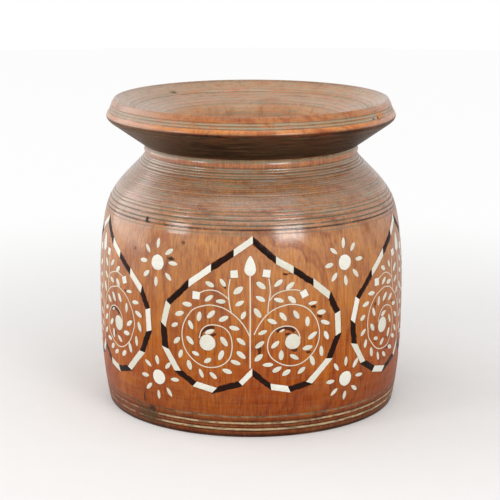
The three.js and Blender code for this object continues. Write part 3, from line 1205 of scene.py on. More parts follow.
@dataclass(frozen=True)
class RoundDiscs:
    """The two discs at the hearts of a panel's scrolls."""

    places: tuple[Place, ...] = ((-39.2, 90.0, 7.4), (37.4, 91.2, 7.1))
    first_tag: int = 80

    def lay(self, sheet: InlaySheet, place: PanelPlace, grow: float = 0.0) -> None:
        """Lays the discs in the sheet.

        Args:
            sheet: The sheet that they are cut in.
            place: The panel.
            grow: How far their outlines are moved outwards.
        """
        chance = place.chance("discs")
        for number, (s, z, radius) in enumerate(self.places):
            tone, tag = 0.55 + 0.25 * number, self.first_tag + number + place.number
            lay_disc(sheet, (s, z), radius + grow, tone, tag, chance)


def lay_disc(
    sheet: InlaySheet, centre: Point, radius: float, tone: float, number: float, chance: random.Random,
    corners: int = 30, wobble: float = 0.12,
) -> None:
    """Lays one hand-cut disc.

    Args:
        sheet: The sheet that it is cut in.
        centre: Where its middle lies.
        radius: Its radius in millimetres.
        tone: Its own shade, 0 to 1.
        number: A number that tells it from the others.
        chance: The run of chances that it is cut by.
        corners: How many corners its outline has.
        wobble: How far the outline strays from round.
    """
    phase = chance.uniform(0, math.tau)

    def form(bearing: float) -> Point:
        """Gives the disc's outline at a bearing."""
        reach = radius + wobble * math.sin(3 * bearing + phase) + 0.5 * wobble * math.sin(7 * bearing - phase)
        return reach * math.cos(bearing), reach * math.sin(bearing)

    sheet.blank(centre, 0.0, corners, form, tone, number)


@dataclass(frozen=True)
class Squares:
    """The four squares at the twigs' ends, as places, turns in degrees and sides."""

    places: tuple[tuple[float, float, float, float], ...] = (
        (-15.0, 153.8, 5.0, 6.7), (-49.6, 132.8, -4.0, 7.0), (13.8, 154.4, -8.0, 6.8), (47.9, 134.4, 25.0, 6.6),
    )
    skew: float = 0.05
    shake: float = 9.0
    corners: int = 16
    first_tag: int = 90

    def lay(self, sheet: InlaySheet, place: PanelPlace, grow: float = 0.0) -> None:
        """Lays the squares in the sheet.

        Args:
            sheet: The sheet that they are cut in.
            place: The panel.
            grow: How far their outlines are moved outwards.
        """
        chance = place.chance("squares")
        for number, (s, z, angle, side) in enumerate(self.places, self.first_tag):
            half = side / 2 + grow
            skew = chance.uniform(-self.skew, self.skew)

            def form(bearing: float, half: float = half, skew: float = skew) -> Point:
                """Gives the square's outline.

                Args:
                    bearing: The bearing round its middle, in radians.
                    half: Half its side.
                    skew: How far it is out of square.

                Returns:
                    The outline's place there.
                """
                across, up = math.cos(bearing), math.sin(bearing)
                reach = half / max(abs(across), abs(up))
                return reach * across * (1 + skew * up), reach * up * (1 - skew * across)

            turn = angle + (0.0 if place.is_front else chance.uniform(-self.shake, self.shake))
            sheet.blank((s, z), turn, self.corners, form, 0.05 + 0.2 * chance.random(), place.tag(number))


@dataclass(frozen=True)
class Slip:
    """One leaf or petal.

    Attributes:
        s: Where its middle lies along the wall.
        z: Where it lies up the wall.
        angle: How far it is turned, in degrees.
        length: Its length.
        width: Its width.
        keen: How much keener its ends are than those of a round slip.
        roundings: The least and most by which chance makes them keener still.
        skew: How much fuller one half may be than the other.
        turn_shake: How far it may be turned from its place, in degrees.
        shift: How far it may lie from its place.
        stray: How far the filling round it may lie beside it.
        corners: How many corners its outline has.
    """

    s: float
    z: float
    angle: float
    length: float
    width: float = 4.4
    keen: float = 0.0
    roundings: Point = (0.02, 0.34)
    skew: float = 0.12
    turn_shake: float = 7.0
    shift: float = 0.7
    stray: float = 0.16
    corners: int = 14

    def lay(self, sheet: InlaySheet, chance: random.Random, shake: float, grow: float, number: float) -> None:
        """Lays the slip in the sheet.

        Args:
            sheet: The sheet that it is cut in.
            chance: The run of chances that it is cut by.
            shake: How freely it strays from its place, 0 to 1.
            grow: How far its outline is moved outwards.
            number: A number that tells it from the others.
        """
        length = self.length * (1 + 0.05 * shake * chance.uniform(-1, 1)) / 2
        width = self.width * (1 + 0.1 * chance.uniform(-1, 1)) / 2
        point = self.keen + chance.uniform(*self.roundings)
        skew = chance.uniform(-self.skew, self.skew)
        angle = self.angle + self.turn_shake * shake * chance.uniform(-1, 1)
        s = self.s + self.shift * shake * chance.uniform(-1, 1)
        z = self.z + self.shift * shake * chance.uniform(-1, 1)
        tone = 0.6 + 0.4 * chance.random()
        stray = self.stray if grow else 0.0
        s += stray * chance.uniform(-1, 1)
        z += stray * chance.uniform(-1, 1)

        def form(bearing: float) -> Point:
            """Gives the slip's outline at a bearing."""
            across, up = math.cos(bearing), math.sin(bearing)
            return (length + grow) * across, (width + grow) * up * abs(up) ** point * (1 + skew * across)

        sheet.blank((s, z), angle, self.corners, form, tone, number)


@dataclass(frozen=True)
class Leaves:
    """The leaf slips of a heart, each as the first numbers of a Slip."""

    left: tuple[tuple[float, ...], ...] = (
        (-37.1, 143.8, -25, 8.8), (-25.2, 145.8, -55, 8.3, 4.0), (-11.4, 139.2, 37, 10.5, 5.2), (-10, 127.5, 30, 9),
        (-6.7, 116.8, 65, 8), (-37.7, 131, 37, 9.5), (-26.9, 128.8, 0, 9), (-58.3, 123.9, -3, 9.5),
        (-65.8, 114.6, 20, 9.5), (-70.8, 103.5, 28, 7.5, 4.0), (-68.8, 89.2, 45, 9), (-65.2, 77.1, 72, 8.5, 4.0),
        (-56.7, 67.5, -75, 9.5), (-45.4, 60.8, -68, 9, 3.8), (-34.2, 59.6, -42, 8.5, 4.0), (-21.4, 64.4, -18, 9.5),
        (-13.8, 72.9, -20, 9.5), (-8.8, 80, -41, 10), (-8.8, 92.5, -39, 9.7), (-14.8, 104.8, -12, 9.5),
        (-24.3, 113.1, 27, 9.5), (-35.7, 116.5, 45, 10, 4.9), (-46.7, 113.8, 80, 9.3, 4.2),
        (-54.8, 105.2, -65, 9, 4.0), (-55.6, 90.8, -48, 9.8), (-50.4, 79, -20, 7.5, 4.0), (-39.2, 73.3, 33, 8),
        (-26.8, 79.2, 68, 10, 4.8), (-24, 92.1, -55, 10.5), (-37.1, 100.4, 25, 9.5, 4.0),
    )
    right: tuple[tuple[float, ...], ...] = (
        (8.8, 143.8, -38, 10), (24.3, 145.4, 38, 9.7), (35, 142.5, 38, 10), (8.3, 131.8, -28, 9.5),
        (24.6, 130, -17, 9.5), (36.5, 130, -43, 9.5, 4.8), (5.7, 118.9, -56, 10.5, 4.8), (56, 125.2, 5, 8.7, 3.2),
        (64.6, 116, 0, 9), (68.5, 106, -22, 10), (28.5, 114.8, -52, 10), (40.4, 116, -58, 9.5),
        (51, 108.8, -88, 9.3, 4.0), (18.6, 110.8, -25, 9.7), (10.2, 100.8, 22, 8.7, 4.0), (7.7, 89.6, 38, 10),
        (21.5, 89.3, 43, 9.5), (56, 95.2, 35, 10.5), (69.8, 93.8, -65, 9.5), (51.3, 84.3, 8, 10),
        (26.9, 79.2, 88, 9.5), (39, 76.7, -30, 9.5), (6.8, 77.5, 43, 9.5), (15, 70.7, 2, 9.7),
        (23.2, 66, 28, 9.3), (31.7, 62.5, 32, 9), (45.8, 63.5, 40, 9.2), (56.1, 71.7, -72, 10, 4.2),
        (65, 79.6, -85, 10, 4.0), (27.4, 101.9, 25, 5.5, 2.2),
    )
    first_tag: int = 100

    def lay(self, sheet: InlaySheet, place: PanelPlace, grow: float = 0.0) -> None:
        """Lays the leaves in the sheet.

        Args:
            sheet: The sheet that they are cut in.
            place: The panel.
            grow: How far their outlines are moved outwards.
        """
        chance = place.chance("leaves")
        shake = 0.0 if place.is_front else 1.0
        for number, sizes in enumerate((*self.left, *self.right), self.first_tag):
            wider = grow * chance.random()
            Slip(*sizes).lay(sheet, chance, shake, wider, place.tag(number))


@dataclass(frozen=True)
class Rosette:
    """A disc with eight petals, in the gap to the right of a panel."""

    place: PanelPlace
    level: Level
    radius: float = 7.0
    petal_reach: float = 16.9
    petal_length: float = 9.8
    petal_width: float = 4.0
    petal_keen: float = 0.12
    petals: int = 8
    bearing_shake: float = 5.0
    turn_shake: float = 9.0
    reach_shares: Point = (0.96, 1.04)
    length_shares: Point = (0.9, 1.06)
    disc_tone: float = 0.05
    disc_tag: int = 170
    petal_tag: int = 180

    def centre(self) -> Point:
        """Gives the rosette's middle on the panel's own sheet, off its even place as measured."""
        off = MEASURED_STRAYS.get((self.place.number, self.level), (0.0, 0.0))
        return math.pi / PANEL_COUNT * GIRTH_RADIUS + off[0], self.level.value + off[1]

    def lay(self, sheet: InlaySheet, grow: float = 0.0) -> None:
        """Lays the disc and its petals in the sheet.

        Args:
            sheet: The sheet that they are cut in.
            grow: How far their outlines are moved outwards.
        """
        chance = self.place.chance(f"{self.level.name} rosette")
        s, z = self.centre()
        lay_disc(sheet, (s, z), self.radius + grow, self.disc_tone, self.disc_tag + self.place.number, chance)
        for number in range(self.petals):
            shake = chance.uniform(-self.bearing_shake, self.bearing_shake)
            bearing = math.radians(360 / self.petals * number + shake)
            reach = self.petal_reach * chance.uniform(*self.reach_shares)
            slip = Slip(
                s + reach * math.cos(bearing), z + reach * math.sin(bearing),
                math.degrees(bearing) + chance.uniform(-self.turn_shake, self.turn_shake),
                self.petal_length * chance.uniform(*self.length_shares), self.petal_width, self.petal_keen,
            )
            slip.lay(sheet, chance, 0.0, grow * chance.random(), self.place.tag(self.petal_tag + number))

    def build(self, material: bpy.types.Material) -> bpy.types.Object:
        """Makes the rosette's piece.

        Args:
            material: The bone.

        Returns:
            The finished piece.
        """
        sheet = self.place.sheet()
        self.lay(sheet)
        level = self.level.name.lower()
        nodes = self.place.nodes(f"{level}_rosette_disc")
        return sheet.finish(f"{level}_rosette_{self.place.number}", material, Slot.BONE, nodes)


@dataclass(frozen=True)
class Filler:
    """The dark filling that shows round the inlay and where it has worn out."""

    proud: float = 0.03
    border_seam: float = 0.2
    bone_seam: float = 0.14
    piece_seam: float = 0.28
    rosette_seam: float = 0.2
    patch_corners: int = 16
    patch_tone: float = 0.9
    back_patches: int = 9
    first_tag: int = 300
    front_smears: tuple[tuple[tuple[Point, ...], float], ...] = (
        (((-46.0, 95.8), (-44.6, 99.6), (-41.2, 102.8), (-36.6, 104.2), (-32.6, 104.0)), 3.2),
        (((-35.2, 97.0), (-32.0, 98.4)), 2.6),
        (((22.4, 101.4), (26.0, 103.6), (31.0, 104.2), (36.0, 102.8), (39.0, 100.4)), 3.4),
        (((31.0, 98.2), (34.0, 99.0)), 2.4), (((7.0, 87.4), (7.6, 81.6)), 3.6),
        (((55.0, 122.0), (58.6, 121.6)), 2.6), (((61.4, 112.8), (64.6, 111.6)), 2.6),
        (((37.2, 83.0), (41.0, 83.2)), 3.0), (((50.6, 80.2), (53.6, 80.0)), 2.4),
        (((29.0, 153.4), (32.2, 152.7)), 2.0), (((31.8, 153.2), (35.0, 153.5), (38.6, 153.2)), 0.7),
        (((-24.0, 142.6), (-22.6, 141.0)), 2.0),
    )

    def build(
        self, place: PanelPlace, parts: Sequence[Any], border: HeartBorder, rosettes: Sequence[Rosette],
        material: bpy.types.Material,
    ) -> bpy.types.Object:
        """Makes the filling of one panel.

        Args:
            place: The panel.
            parts: The panel's own inlay, each of which can lay itself larger.
            border: The panel's border.
            rosettes: The rosettes beside the panel.
            material: The filling's material.

        Returns:
            The finished piece.
        """
        sheet = place.sheet(self.proud, 0.0)
        border.lay(sheet, place, True, self.border_seam)
        border.lay(sheet, place, False, self.bone_seam)
        for part in parts:
            part.lay(sheet, place, self.piece_seam)
        for rosette in rosettes:
            rosette.lay(sheet, self.rosette_seam)
        for number, (knots, width) in enumerate(self.smears(place), self.first_tag):
            if len(knots) == 2:
                self.patch(sheet, knots, width, number)
            else:
                sheet.wire(knots, width, 1.0, number, 1.5)
        return sheet.finish(f"inlay_filler_{place.number}", material, Slot.WOOD)

    def patch(self, sheet: InlaySheet, ends: Sequence[Point], width: float, number: float) -> None:
        """Lays one rounded patch of filling with a crooked edge.

        Args:
            sheet: The sheet that it is cut in.
            ends: The two ends of its middle line.
            width: Its width in millimetres.
            number: A number that tells it from the others.
        """
        (s, z), (far_s, far_z) = ends
        reach = math.dist(*ends) / 2 + width * 0.42

        def form(bearing: float) -> Point:
            """Gives the patch's outline at a bearing."""
            crooked = 1 + 0.13 * math.sin(3 * bearing + number) + 0.09 * math.sin(5 * bearing + 2 * number)
            return reach * crooked * math.cos(bearing), width / 2 * crooked * math.sin(bearing)

        turn = math.degrees(math.atan2(far_z - z, far_s - s))
        middle = ((s + far_s) / 2, (z + far_z) / 2)
        sheet.blank(middle, turn, self.patch_corners, form, self.patch_tone, number)

    def smears(self, place: PanelPlace) -> list[tuple[tuple[Point, ...], float]]:
        """Lists the worn places of a panel.

        Args:
            place: The panel.

        Returns:
            The line and width of each.
        """
        if place.is_front:
            return list(self.front_smears)
        chance = place.chance("smears")
        made = [self.front_smears[0], self.front_smears[2]] if place.number % 2 else [self.front_smears[2]]
        for _ in range(self.back_patches):
            s, z = chance.uniform(-62, 62), chance.uniform(62, 138)
            lean = chance.uniform(0, math.tau)
            reach = chance.uniform(0.8, 2.4)
            over, up = reach * math.cos(lean), reach * math.sin(lean)
            made.append((((s - over, z - up), (s + over, z + up)), chance.uniform(1.2, 2.8)))
        return made


@dataclass(frozen=True)
class Finishes:
    """The materials that the pieces share."""

    wood: bpy.types.Material
    bone: bpy.types.Material
    vine: bpy.types.Material
    dark: bpy.types.Material
    filler: bpy.types.Material


@dataclass(frozen=True)
class HeartPanel:
    """One heart with everything in it, and the two rosettes to its right."""

    place: PanelPlace
    border: HeartBorder = HeartBorder()
    vines: Vines = Vines()
    bud: Bud = Bud()
    discs: RoundDiscs = RoundDiscs()
    squares: Squares = Squares()
    leaves: Leaves = Leaves()
    filler: Filler = Filler()
    dark_sink: float = 0.012
    vine_sink: float = 0.008

    def build(self, finishes: Finishes) -> None:
        """Makes the panel's pieces.

        Args:
            finishes: The shared materials.
        """
        place, number = self.place, self.place.number
        for dark, name, material, slot in (
            (False, "bone", finishes.bone, Slot.BONE), (True, "dark", finishes.dark, Slot.WOOD),
        ):
            sheet = place.sheet(place.proud - self.dark_sink * dark)
            self.border.lay(sheet, place, dark)
            sheet.finish(f"border_{name}_strips_{number}", material, slot, place.nodes("border"))
        discs = place.nodes("left_disc", "right_disc")
        squares = place.nodes(*(f"{side}_{row}_square" for side in ("left", "right") for row in ("inner", "outer")))
        sheet = place.sheet(place.proud - self.vine_sink)
        self.vines.lay(sheet, place)
        sheet.finish(f"vines_{number}", finishes.vine, Slot.BONE, place.nodes("stem"), pace=0.0)
        for name, part, nodes in (
            ("stem_bud", self.bud, place.nodes("bud")), ("scroll_discs", self.discs, discs),
            ("twig_squares", self.squares, squares), ("leaves", self.leaves, []),
        ):
            sheet = place.sheet()
            part.lay(sheet, place)
            sheet.finish(f"{name}_{number}", finishes.bone, Slot.BONE, nodes)
        rosettes = [Rosette(place, level) for level in Level]
        for rosette in rosettes:
            rosette.build(finishes.bone)
        parts = (self.vines, self.bud, self.discs, self.squares, self.leaves)
        self.filler.build(place, parts, self.border, rosettes, finishes.filler)


@dataclass(frozen=True)
class Blemish:
    """One knot, crack or hole in the wood: its middle and half-lengths in millimetres, its colour and strength."""

    centre: Place
    size: Place
    colour: Colour
    strength: float


def on_wall(wall: Wall, s: float, z: float) -> Place:
    """Gives the place in space of a place on the wall."""
    radius, angle = wall.radius(z), s / GIRTH_RADIUS
    return radius * math.sin(angle), -radius * math.cos(angle), z


@dataclass(frozen=True)
class Marks:
    """A noise in a surface: the size of its marks in millimetres, and how fine, strong and twisted it is."""

    size: Place
    detail: float = 3.0
    roughness: float = 0.6
    warp: float = 0.0

    def read(self, sheet: NodeSheet, place: Wire) -> Wire:
        """Adds the noise where the surface is."""
        return sheet.noise(sheet.stretch(place, *self.size), self.detail, self.roughness, self.warp)


@dataclass(frozen=True)
class Spread:
    """Where something lies by a noise: the values at which none and all of it lie, and how much all is, 0 to 1."""

    bare: float
    full: float
    strength: float

    def reach(self, sheet: NodeSheet, value: Value) -> Wire:
        """Tells where it lies, 0 to 1."""
        return sheet.step(value, self.bare, self.full)

    def mask(self, sheet: NodeSheet, value: Value) -> Wire:
        """Tells how much of it lies there, 0 to its strength."""
        return self.reach(sheet, value) * self.strength


@dataclass(frozen=True)
class Veil(Spread):
    """A spread of one colour."""

    colour: Colour

    def stain(self, sheet: NodeSheet, share: Value, ground: Wire) -> Wire:
        """Stains a share of the ground with the colour.

        Args:
            sheet: The node sheet.
            share: How much of the ground is stained.
            ground: The colour below.

        Returns:
            The stained colour.
        """
        return sheet.blend(share, ground, sheet.blend(1.0, ground, self.colour, "MULTIPLY"))


@dataclass(frozen=True)
class LacqueredWood:
    """Old turned wood under lacquer: upright fibres, round tool marks, grey wear and filled grooves."""

    pot: TurnedPot
    sway: Marks = Marks((34.0, 34.0, 90.0), 2.0, 0.5)
    mottle: Marks = Marks((42.0, 42.0, 70.0), 3.0, 0.55, 0.6)
    blotch: Marks = Marks((12.0, 12.0, 26.0))
    flecks: Marks = Marks((4.5, 4.5, 15.0))
    fibres: Marks = Marks((1.5, 1.5, 34.0), 3.0, 0.62)
    pores: Marks = Marks((0.5, 0.5, 13.0), 1.0, 0.5)
    hue: Marks = Marks((30.0, 30.0, 12.0), 2.0, 0.5)
    patches: Marks = Marks((14.0, 14.0, 3.4), 3.0, 0.7)
    ragged: Marks = Marks((3.0, 3.0, 5.0), 4.0, 0.7)
    red_mottle: Veil = Veil(0.46, 0.68, 0.5, tint(232, 196, 176))
    gold_mottle: Veil = Veil(0.47, 0.3, 0.45, tint(222, 140, 40))
    brown_blotch: Veil = Veil(0.5, 0.74, 0.55, tint(196, 148, 108))
    brown_fleck: Spread = Spread(0.5, 0.72, 0.45)
    gold_fleck: Spread = Spread(0.48, 0.3, 0.3)
    year_ring: Veil = Veil(0.47, 0.66, 0.6, tint(190, 128, 84))
    brown_fibre: Veil = Veil(0.5, 0.7, 0.52, tint(158, 92, 52))
    gold_fibre: Veil = Veil(0.47, 0.3, 0.4, tint(220, 140, 40))
    open_pore: Veil = Veil(0.64, 0.74, 0.32, tint(84, 36, 10))
    tan_wear: Veil = Veil(0.36, 0.6, 0.5, tint(174, 144, 120))
    tan_rim: Colour = tint(178, 148, 122)
    grey_wear: Spread = Spread(0.52, 0.62, 0.85)
    greys: tuple[Colour, Colour] = (tint(134, 136, 112), tint(160, 140, 124))
    grey_rim: Colour = tint(148, 144, 120)
    copper_wear: Veil = Veil(0.46, 0.37, 0.5, tint(190, 104, 48))
    grey_hoop: Veil = Veil(0.55, 0.66, 0.55, tint(140, 138, 114))
    copper_hoop: Veil = Veil(0.46, 0.36, 0.4, tint(184, 112, 68))
    dark_dash: Veil = Veil(0.6, 0.68, 0.5, tint(86, 78, 64))
    filling: Spread = Spread(0.3, 0.46, 0.95)
    pale_fillings: tuple[Colour, Colour] = (tint(202, 186, 146), tint(122, 106, 80))
    green_fillings: tuple[Colour, Colour] = (tint(122, 126, 102), tint(146, 147, 120))
    soot: Veil = Veil(0.28, 0.5, 0.92, tint(30, 18, 12))
    # painted reflection: a pale sheen on the two ends of the shoulder and the rim
    painted_sheen: Spread = Spread(0.62, 0.42, 0.45)
    painted_sheen_colour: Colour = tint(184, 170, 160)
    # painted shade and painted warm bounce light, multiplied into the rim's underside
    painted_warm_bounce: Colour = tint(203, 173, 140)
    pith: Place = (26.0, 31.0, 0.0)
    ring_gap: float = 3.6
    relief: float = 0.11
    coat_weight: float = 0.62
    coat_roughness: float = 0.16
    coat_ior: float = 1.7
    specular: float = 0.12

    def body_stops(self) -> list[tuple[float, Colour]]:
        """Gives the wood's own colour along the profile.

        Returns:
            The stops of a ramp over the profile's length.
        """
        pot = self.pot
        outside = (
            # painted contact shadow: the stop at a rise of 1.4 makes the foot's lowest edge dark
            (1.4, 56, 26, 9), (3.6, 118, 56, 12), (22.0, 142, 66, 6), (60.0, 160, 76, 6), (120.0, 172, 101, 32),
            (180.0, 174, 116, 63), (194.0, 154, 102, 63), (228.0, 158, 106, 68), (239.8, 158, 108, 72),
            (240.8, 182, 100, 40), (243.4, 182, 100, 40), (244.3, 146, 112, 80), (248.0, 112, 86, 62),
            # painted shade: the rim's underside, from a rise of 248.8 to 275.7, is near black
            (248.8, 26, 12, 4), (262.0, 36, 17, 6), (275.7, 54, 27, 12), (276.6, 216, 132, 52),
            (280.0, 200, 128, 66), (285.5, 172, 112, 60), (289.0, 178, 106, 50), (291.3, 168, 114, 72),
        )
        dish = (
            (128.6, 112, 80, 58), (126.4, 180, 138, 98), (110.0, 176, 138, 105), (88.0, 175, 134, 99),
            # painted light: this stop at the throat's edge is lighter to offset the shade of the mouth
            (82.2, 196, 152, 114),
        )
        # painted light and shade: the throat's first stops are lighter to offset the shade of the mouth, and its
        # deeper stops darken the hollow
        throat = ((16, 224, 176, 136), (28, 196, 140, 96), (48, 116, 68, 38), (96, 82, 46, 25))
        places = [
            (0.0, tint(84, 42, 18)), *((pot.at_rise(rise), tint(*parts)) for rise, *parts in outside),
            *((pot.at_radius(radius), tint(*parts)) for radius, *parts in dish),
            *((pot.at_radius(pot.throat_top) + past, tint(*parts)) for past, *parts in throat),
            (pot.length, tint(78, 44, 26)),
        ]
        return [(along / pot.length, colour) for along, colour in places]

    def blemishes(self) -> tuple[Blemish, ...]:
        """Lists the marks that have a place of their own.

        Returns:
            The marks; in the rows, a place of two numbers lies on the wall and one of three in space.
        """
        wall = self.pot.wall
        rows = (
            ((-107, 11), (16, 16, 9.5), (74, 58, 34), 0.78),
            ((-101, 18), (5, 5, 4), (44, 34, 22), 0.85),
            ((-109.5, 27), (1.4, 1.4, 7), (36, 20, 12), 0.85),
            ((-119, 20), (6, 6, 3), (96, 62, 30), 0.6),
            ((-109, 193.8), (2.8, 2.8, 3.6), (12, 5, 3), 1.0),
            ((-120, 166.5), (2.4, 2.4, 2.0), (96, 52, 32), 0.6),
            ((-64, 178.5), (2.4, 2.4, 1.8), (70, 40, 24), 0.7),
            ((-72, 188.5), (17, 17, 2.6), (160, 150, 134), 0.4),
            ((-75.2, 163.1), (5.0, 5.0, 2.3), (40, 20, 12), 0.95),
            ((117.2, -65.0, 283.4), (9, 9, 4), (196, 128, 74), 0.85),
            ((110.4, -76.0, 281.6), (2.2, 2.2, 1.5), (40, 24, 14), 0.85),
            ((114.8, -69.0, 281.8), (1.8, 1.8, 1.6), (40, 24, 14), 0.85),
            ((116.6, -68.6, 279.0), (1.0, 1.0, 3.6), (64, 36, 20), 0.8),
            ((-77.5, 85.0, 284.2), (5.5, 4.5, 3), (96, 90, 66), 0.85),
            ((123, 184), (6, 6, 7), (122, 64, 28), 0.55),
            ((232, 70), (3, 3, 7), (64, 32, 16), 0.8),
            ((-330, 150), (4, 4, 5), (70, 36, 18), 0.7),
        )
        return tuple(
            Blemish(at if len(at) == 3 else on_wall(wall, *at), size, tint(*colour), strength)
            for at, size, colour, strength in rows
        )

    def material(self) -> bpy.types.Material:
        """Makes the material.

        Returns:
            The finished material.
        """
        layers = WoodLayers(self)
        layers.lay_ground()
        layers.lay_grain()
        layers.lay_wear()
        layers.lay_filling()
        # painted reflection: a pale sheen on the two ends of the shoulder and the rim
        layers.lay_painted_sheen()
        layers.lay_scars()
        return layers.finish()


class WoodLayers:
    """The layers of the lacquered wood, which are laid on its colour one after the other."""

    def __init__(self, wood: LacqueredWood) -> None:
        """Reads the places and attributes of the pot, and works out where its parts lie.

        Args:
            wood: The finish, with its sizes and colours.
        """
        self.wood = wood
        sheet = self.sheet = MaterialSheet("lacquered_turned_wood")
        self.place = sheet.place()
        self.x, self.y, self.z = sheet.parts(self.place)
        self.along, self.residue, self.shade, self.patina = map(sheet.attribute, PROFILE_LAYERS)
        up, down = wood.pot.at_rise, wood.pot.at_radius
        self.outer = self.between(up(250.0), up(247.0))
        self.under = self.between(up(247.0), up(249.0)) * self.between(up(276.4), up(275.6))
        self.edge = self.between(up(273.0), up(276.0)) * self.between(down(127.0), up(291.0))
        self.dish = self.between(down(129.0), down(124.0))
        self.inside = self.between(down(88.0), down(81.2))
        self.high = sheet.step(self.z, 258.0, 280.0)
        self.even = 0.35 + sheet.step(self.z, 30.0, 120.0) * 0.65
        self.upright = 1.0 - self.dish * 0.65 - self.inside * 0.22
        self.mottle = wood.mottle.read(sheet, self.place)
        self.blotch = wood.blotch.read(sheet, self.place)
        self.fibres = wood.fibres.read(sheet, self.place)
        self.pores = wood.open_pore.reach(sheet, wood.pores.read(sheet, self.place))
        self.dashes, self.broad = self.dash_noise(2.0, 24.0, 3.0), self.dash_noise(4.5, 48.0, 2.0)
        self.hoops = sheet.noise(sheet.join(self.along * (wood.pot.length / 0.9), 3.0, 7.0), 2.0, 0.6)
        self.turned = self.dashes * 0.72 + self.hoops * 0.28
        self.side = self.x + (self.broad - 0.5) * 60.0
        self.laid: Value = 0.0
        self.scar: Value = 0.0
        self.colour = sheet.ramp(self.along, wood.body_stops())

    def between(self, start: float, end: float) -> Wire:
        """Rises from 0 to 1 between two places along the profile."""
        return self.sheet.step(self.along * self.wood.pot.length, start, end)

    def dash_noise(self, width: float, length: float, detail: float) -> Wire:
        """Adds a noise of dashes that run round the pot.

        Args:
            width: The dashes' width along the profile, in millimetres.
            length: About how long they are.
            detail: How many finer layers they have.

        Returns:
            The noise.
        """
        along = self.along * (self.wood.pot.length / width)
        return self.sheet.noise(self.sheet.join(along, self.x / length, self.y / length), detail, 0.6)

    def lay(self, share: Wire, colour: Value) -> None:
        """Lays a share of a colour over what is there."""
        self.colour = self.sheet.blend(share, self.colour, colour)

    def lay_ground(self) -> None:
        """Lays the mottles, blotches and flecks of the wood."""
        wood, sheet = self.wood, self.sheet
        self.colour = wood.red_mottle.stain(sheet, wood.red_mottle.mask(sheet, self.mottle), self.colour)
        golden = sheet.blend(self.outer * 0.5, self.colour, wood.gold_mottle.colour)
        self.lay(wood.gold_mottle.mask(sheet, self.mottle), golden)
        brown = sheet.blend(1.0, self.colour, wood.brown_blotch.colour, "MULTIPLY")
        self.lay(wood.brown_blotch.mask(sheet, self.blotch), brown)
        flecks = wood.flecks.read(sheet, self.place)
        self.lay(wood.brown_fleck.mask(sheet, flecks) * self.even, brown)
        self.lay(wood.gold_fleck.mask(sheet, flecks) * self.even, golden)

    def lay_grain(self) -> None:
        """Lays the year rings, the upright fibres and the pores."""
        wood, sheet = self.wood, self.sheet
        pith = sheet.vector("DISTANCE", sheet.join(self.x, self.y, 0.0), wood.pith, output="Value")
        outward = pith / wood.ring_gap + wood.sway.read(sheet, self.place) * 5.0
        rings = sheet.noise(sheet.join(outward, 0.0, self.z / 380.0), 3.0, 0.6)
        for veil, noise in ((wood.year_ring, rings), (wood.brown_fibre, self.fibres)):
            self.colour = veil.stain(sheet, veil.mask(sheet, noise) * self.upright, self.colour)
        gold = wood.gold_fibre
        self.lay(gold.mask(sheet, self.fibres) * self.outer * self.even, gold.colour)
        self.lay(self.pores * wood.open_pore.strength * self.upright, wood.open_pore.colour)

    def lay_wear(self) -> None:
        """Lays the tan, grey and copper that old handling left in the tool marks."""
        wood, sheet = self.wood, self.sheet
        hue = sheet.step(wood.hue.read(sheet, self.place), 0.4, 0.6)
        grey = sheet.blend(self.high, sheet.blend(hue, *wood.greys), wood.grey_rim)
        tan = sheet.blend(self.high, wood.tan_wear.colour, wood.tan_rim)
        for spread, noise, colour in ((wood.tan_wear, self.broad, tan), (wood.grey_wear, self.turned, grey)):
            self.lay(self.patina * spread.reach(sheet, noise) * spread.strength, colour)
        copper = self.patina * wood.copper_wear.reach(sheet, self.turned - self.high * 0.035)
        self.lay(copper * (self.high * 0.25 + wood.copper_wear.strength), wood.copper_wear.colour)
        for veil in (wood.grey_hoop, wood.copper_hoop):
            self.lay(self.dish * veil.reach(sheet, self.hoops) * veil.strength, veil.colour)
        dark = self.patina * wood.dark_dash.reach(sheet, self.dashes * 0.5 + self.hoops * 0.5)
        self.lay(dark * wood.dark_dash.strength, wood.dark_dash.colour)

    def lay_filling(self) -> None:
        """Lays the pale filling and the soot in the scored lines."""
        wood, sheet = self.wood, self.sheet
        patches = wood.patches.read(sheet, self.place)
        worn = sheet.step(self.z, 44.0, 30.0) * sheet.step(self.side, -60.0, -96.0) * 0.13
        self.laid = self.residue * wood.filling.reach(sheet, patches - self.high * 0.05 - worn)
        pale = sheet.blend(sheet.step(patches, 0.42, 0.64), *wood.pale_fillings)
        green = sheet.blend(self.high, *wood.green_fillings)
        filling = sheet.blend(sheet.step(self.z, 60.0, 120.0), pale, green)
        self.lay(self.laid * wood.filling.strength, filling)
        self.lay(self.shade * wood.soot.reach(sheet, patches) * wood.soot.strength, wood.soot.colour)

    def lay_painted_sheen(self) -> None:
        """Lays a painted reflection, a pale sheen, on the two ends of the shoulder and the rim."""
        wood, sheet = self.wood, self.sheet
        side = self.side + sheet.step(self.z, 240.0, 215.0) * 26.0
        right = sheet.step(side, 92.0, 126.0) * sheet.step(self.z, 222.0, 242.0)
        painted_sheen = (sheet.step(side, -48.0, -112.0) + right) * sheet.step(self.z, 190.0, 206.0)
        painted_sheen = painted_sheen * (0.42 - self.under * 0.12) * (0.55 + wood.painted_sheen.mask(sheet, self.turned))
        self.lay(painted_sheen, wood.painted_sheen_colour)

    def lay_scars(self) -> None:
        """Lays the knots, holes and cracks, each with a ragged edge."""
        wood, sheet = self.wood, self.sheet
        ragged = (wood.ragged.read(sheet, self.place) - 0.5) * 1.8
        for blemish in wood.blemishes():
            off = sheet.vector("SUBTRACT", self.place, blemish.centre)
            off = sheet.vector("MULTIPLY", off, tuple(1 / part for part in blemish.size))
            near = sheet.vector("LENGTH", off, output="Value") + ragged
            mask = sheet.step(near, 1.1, 0.35) * blemish.strength
            self.lay(mask, blemish.colour)
            self.scar = mask + self.scar

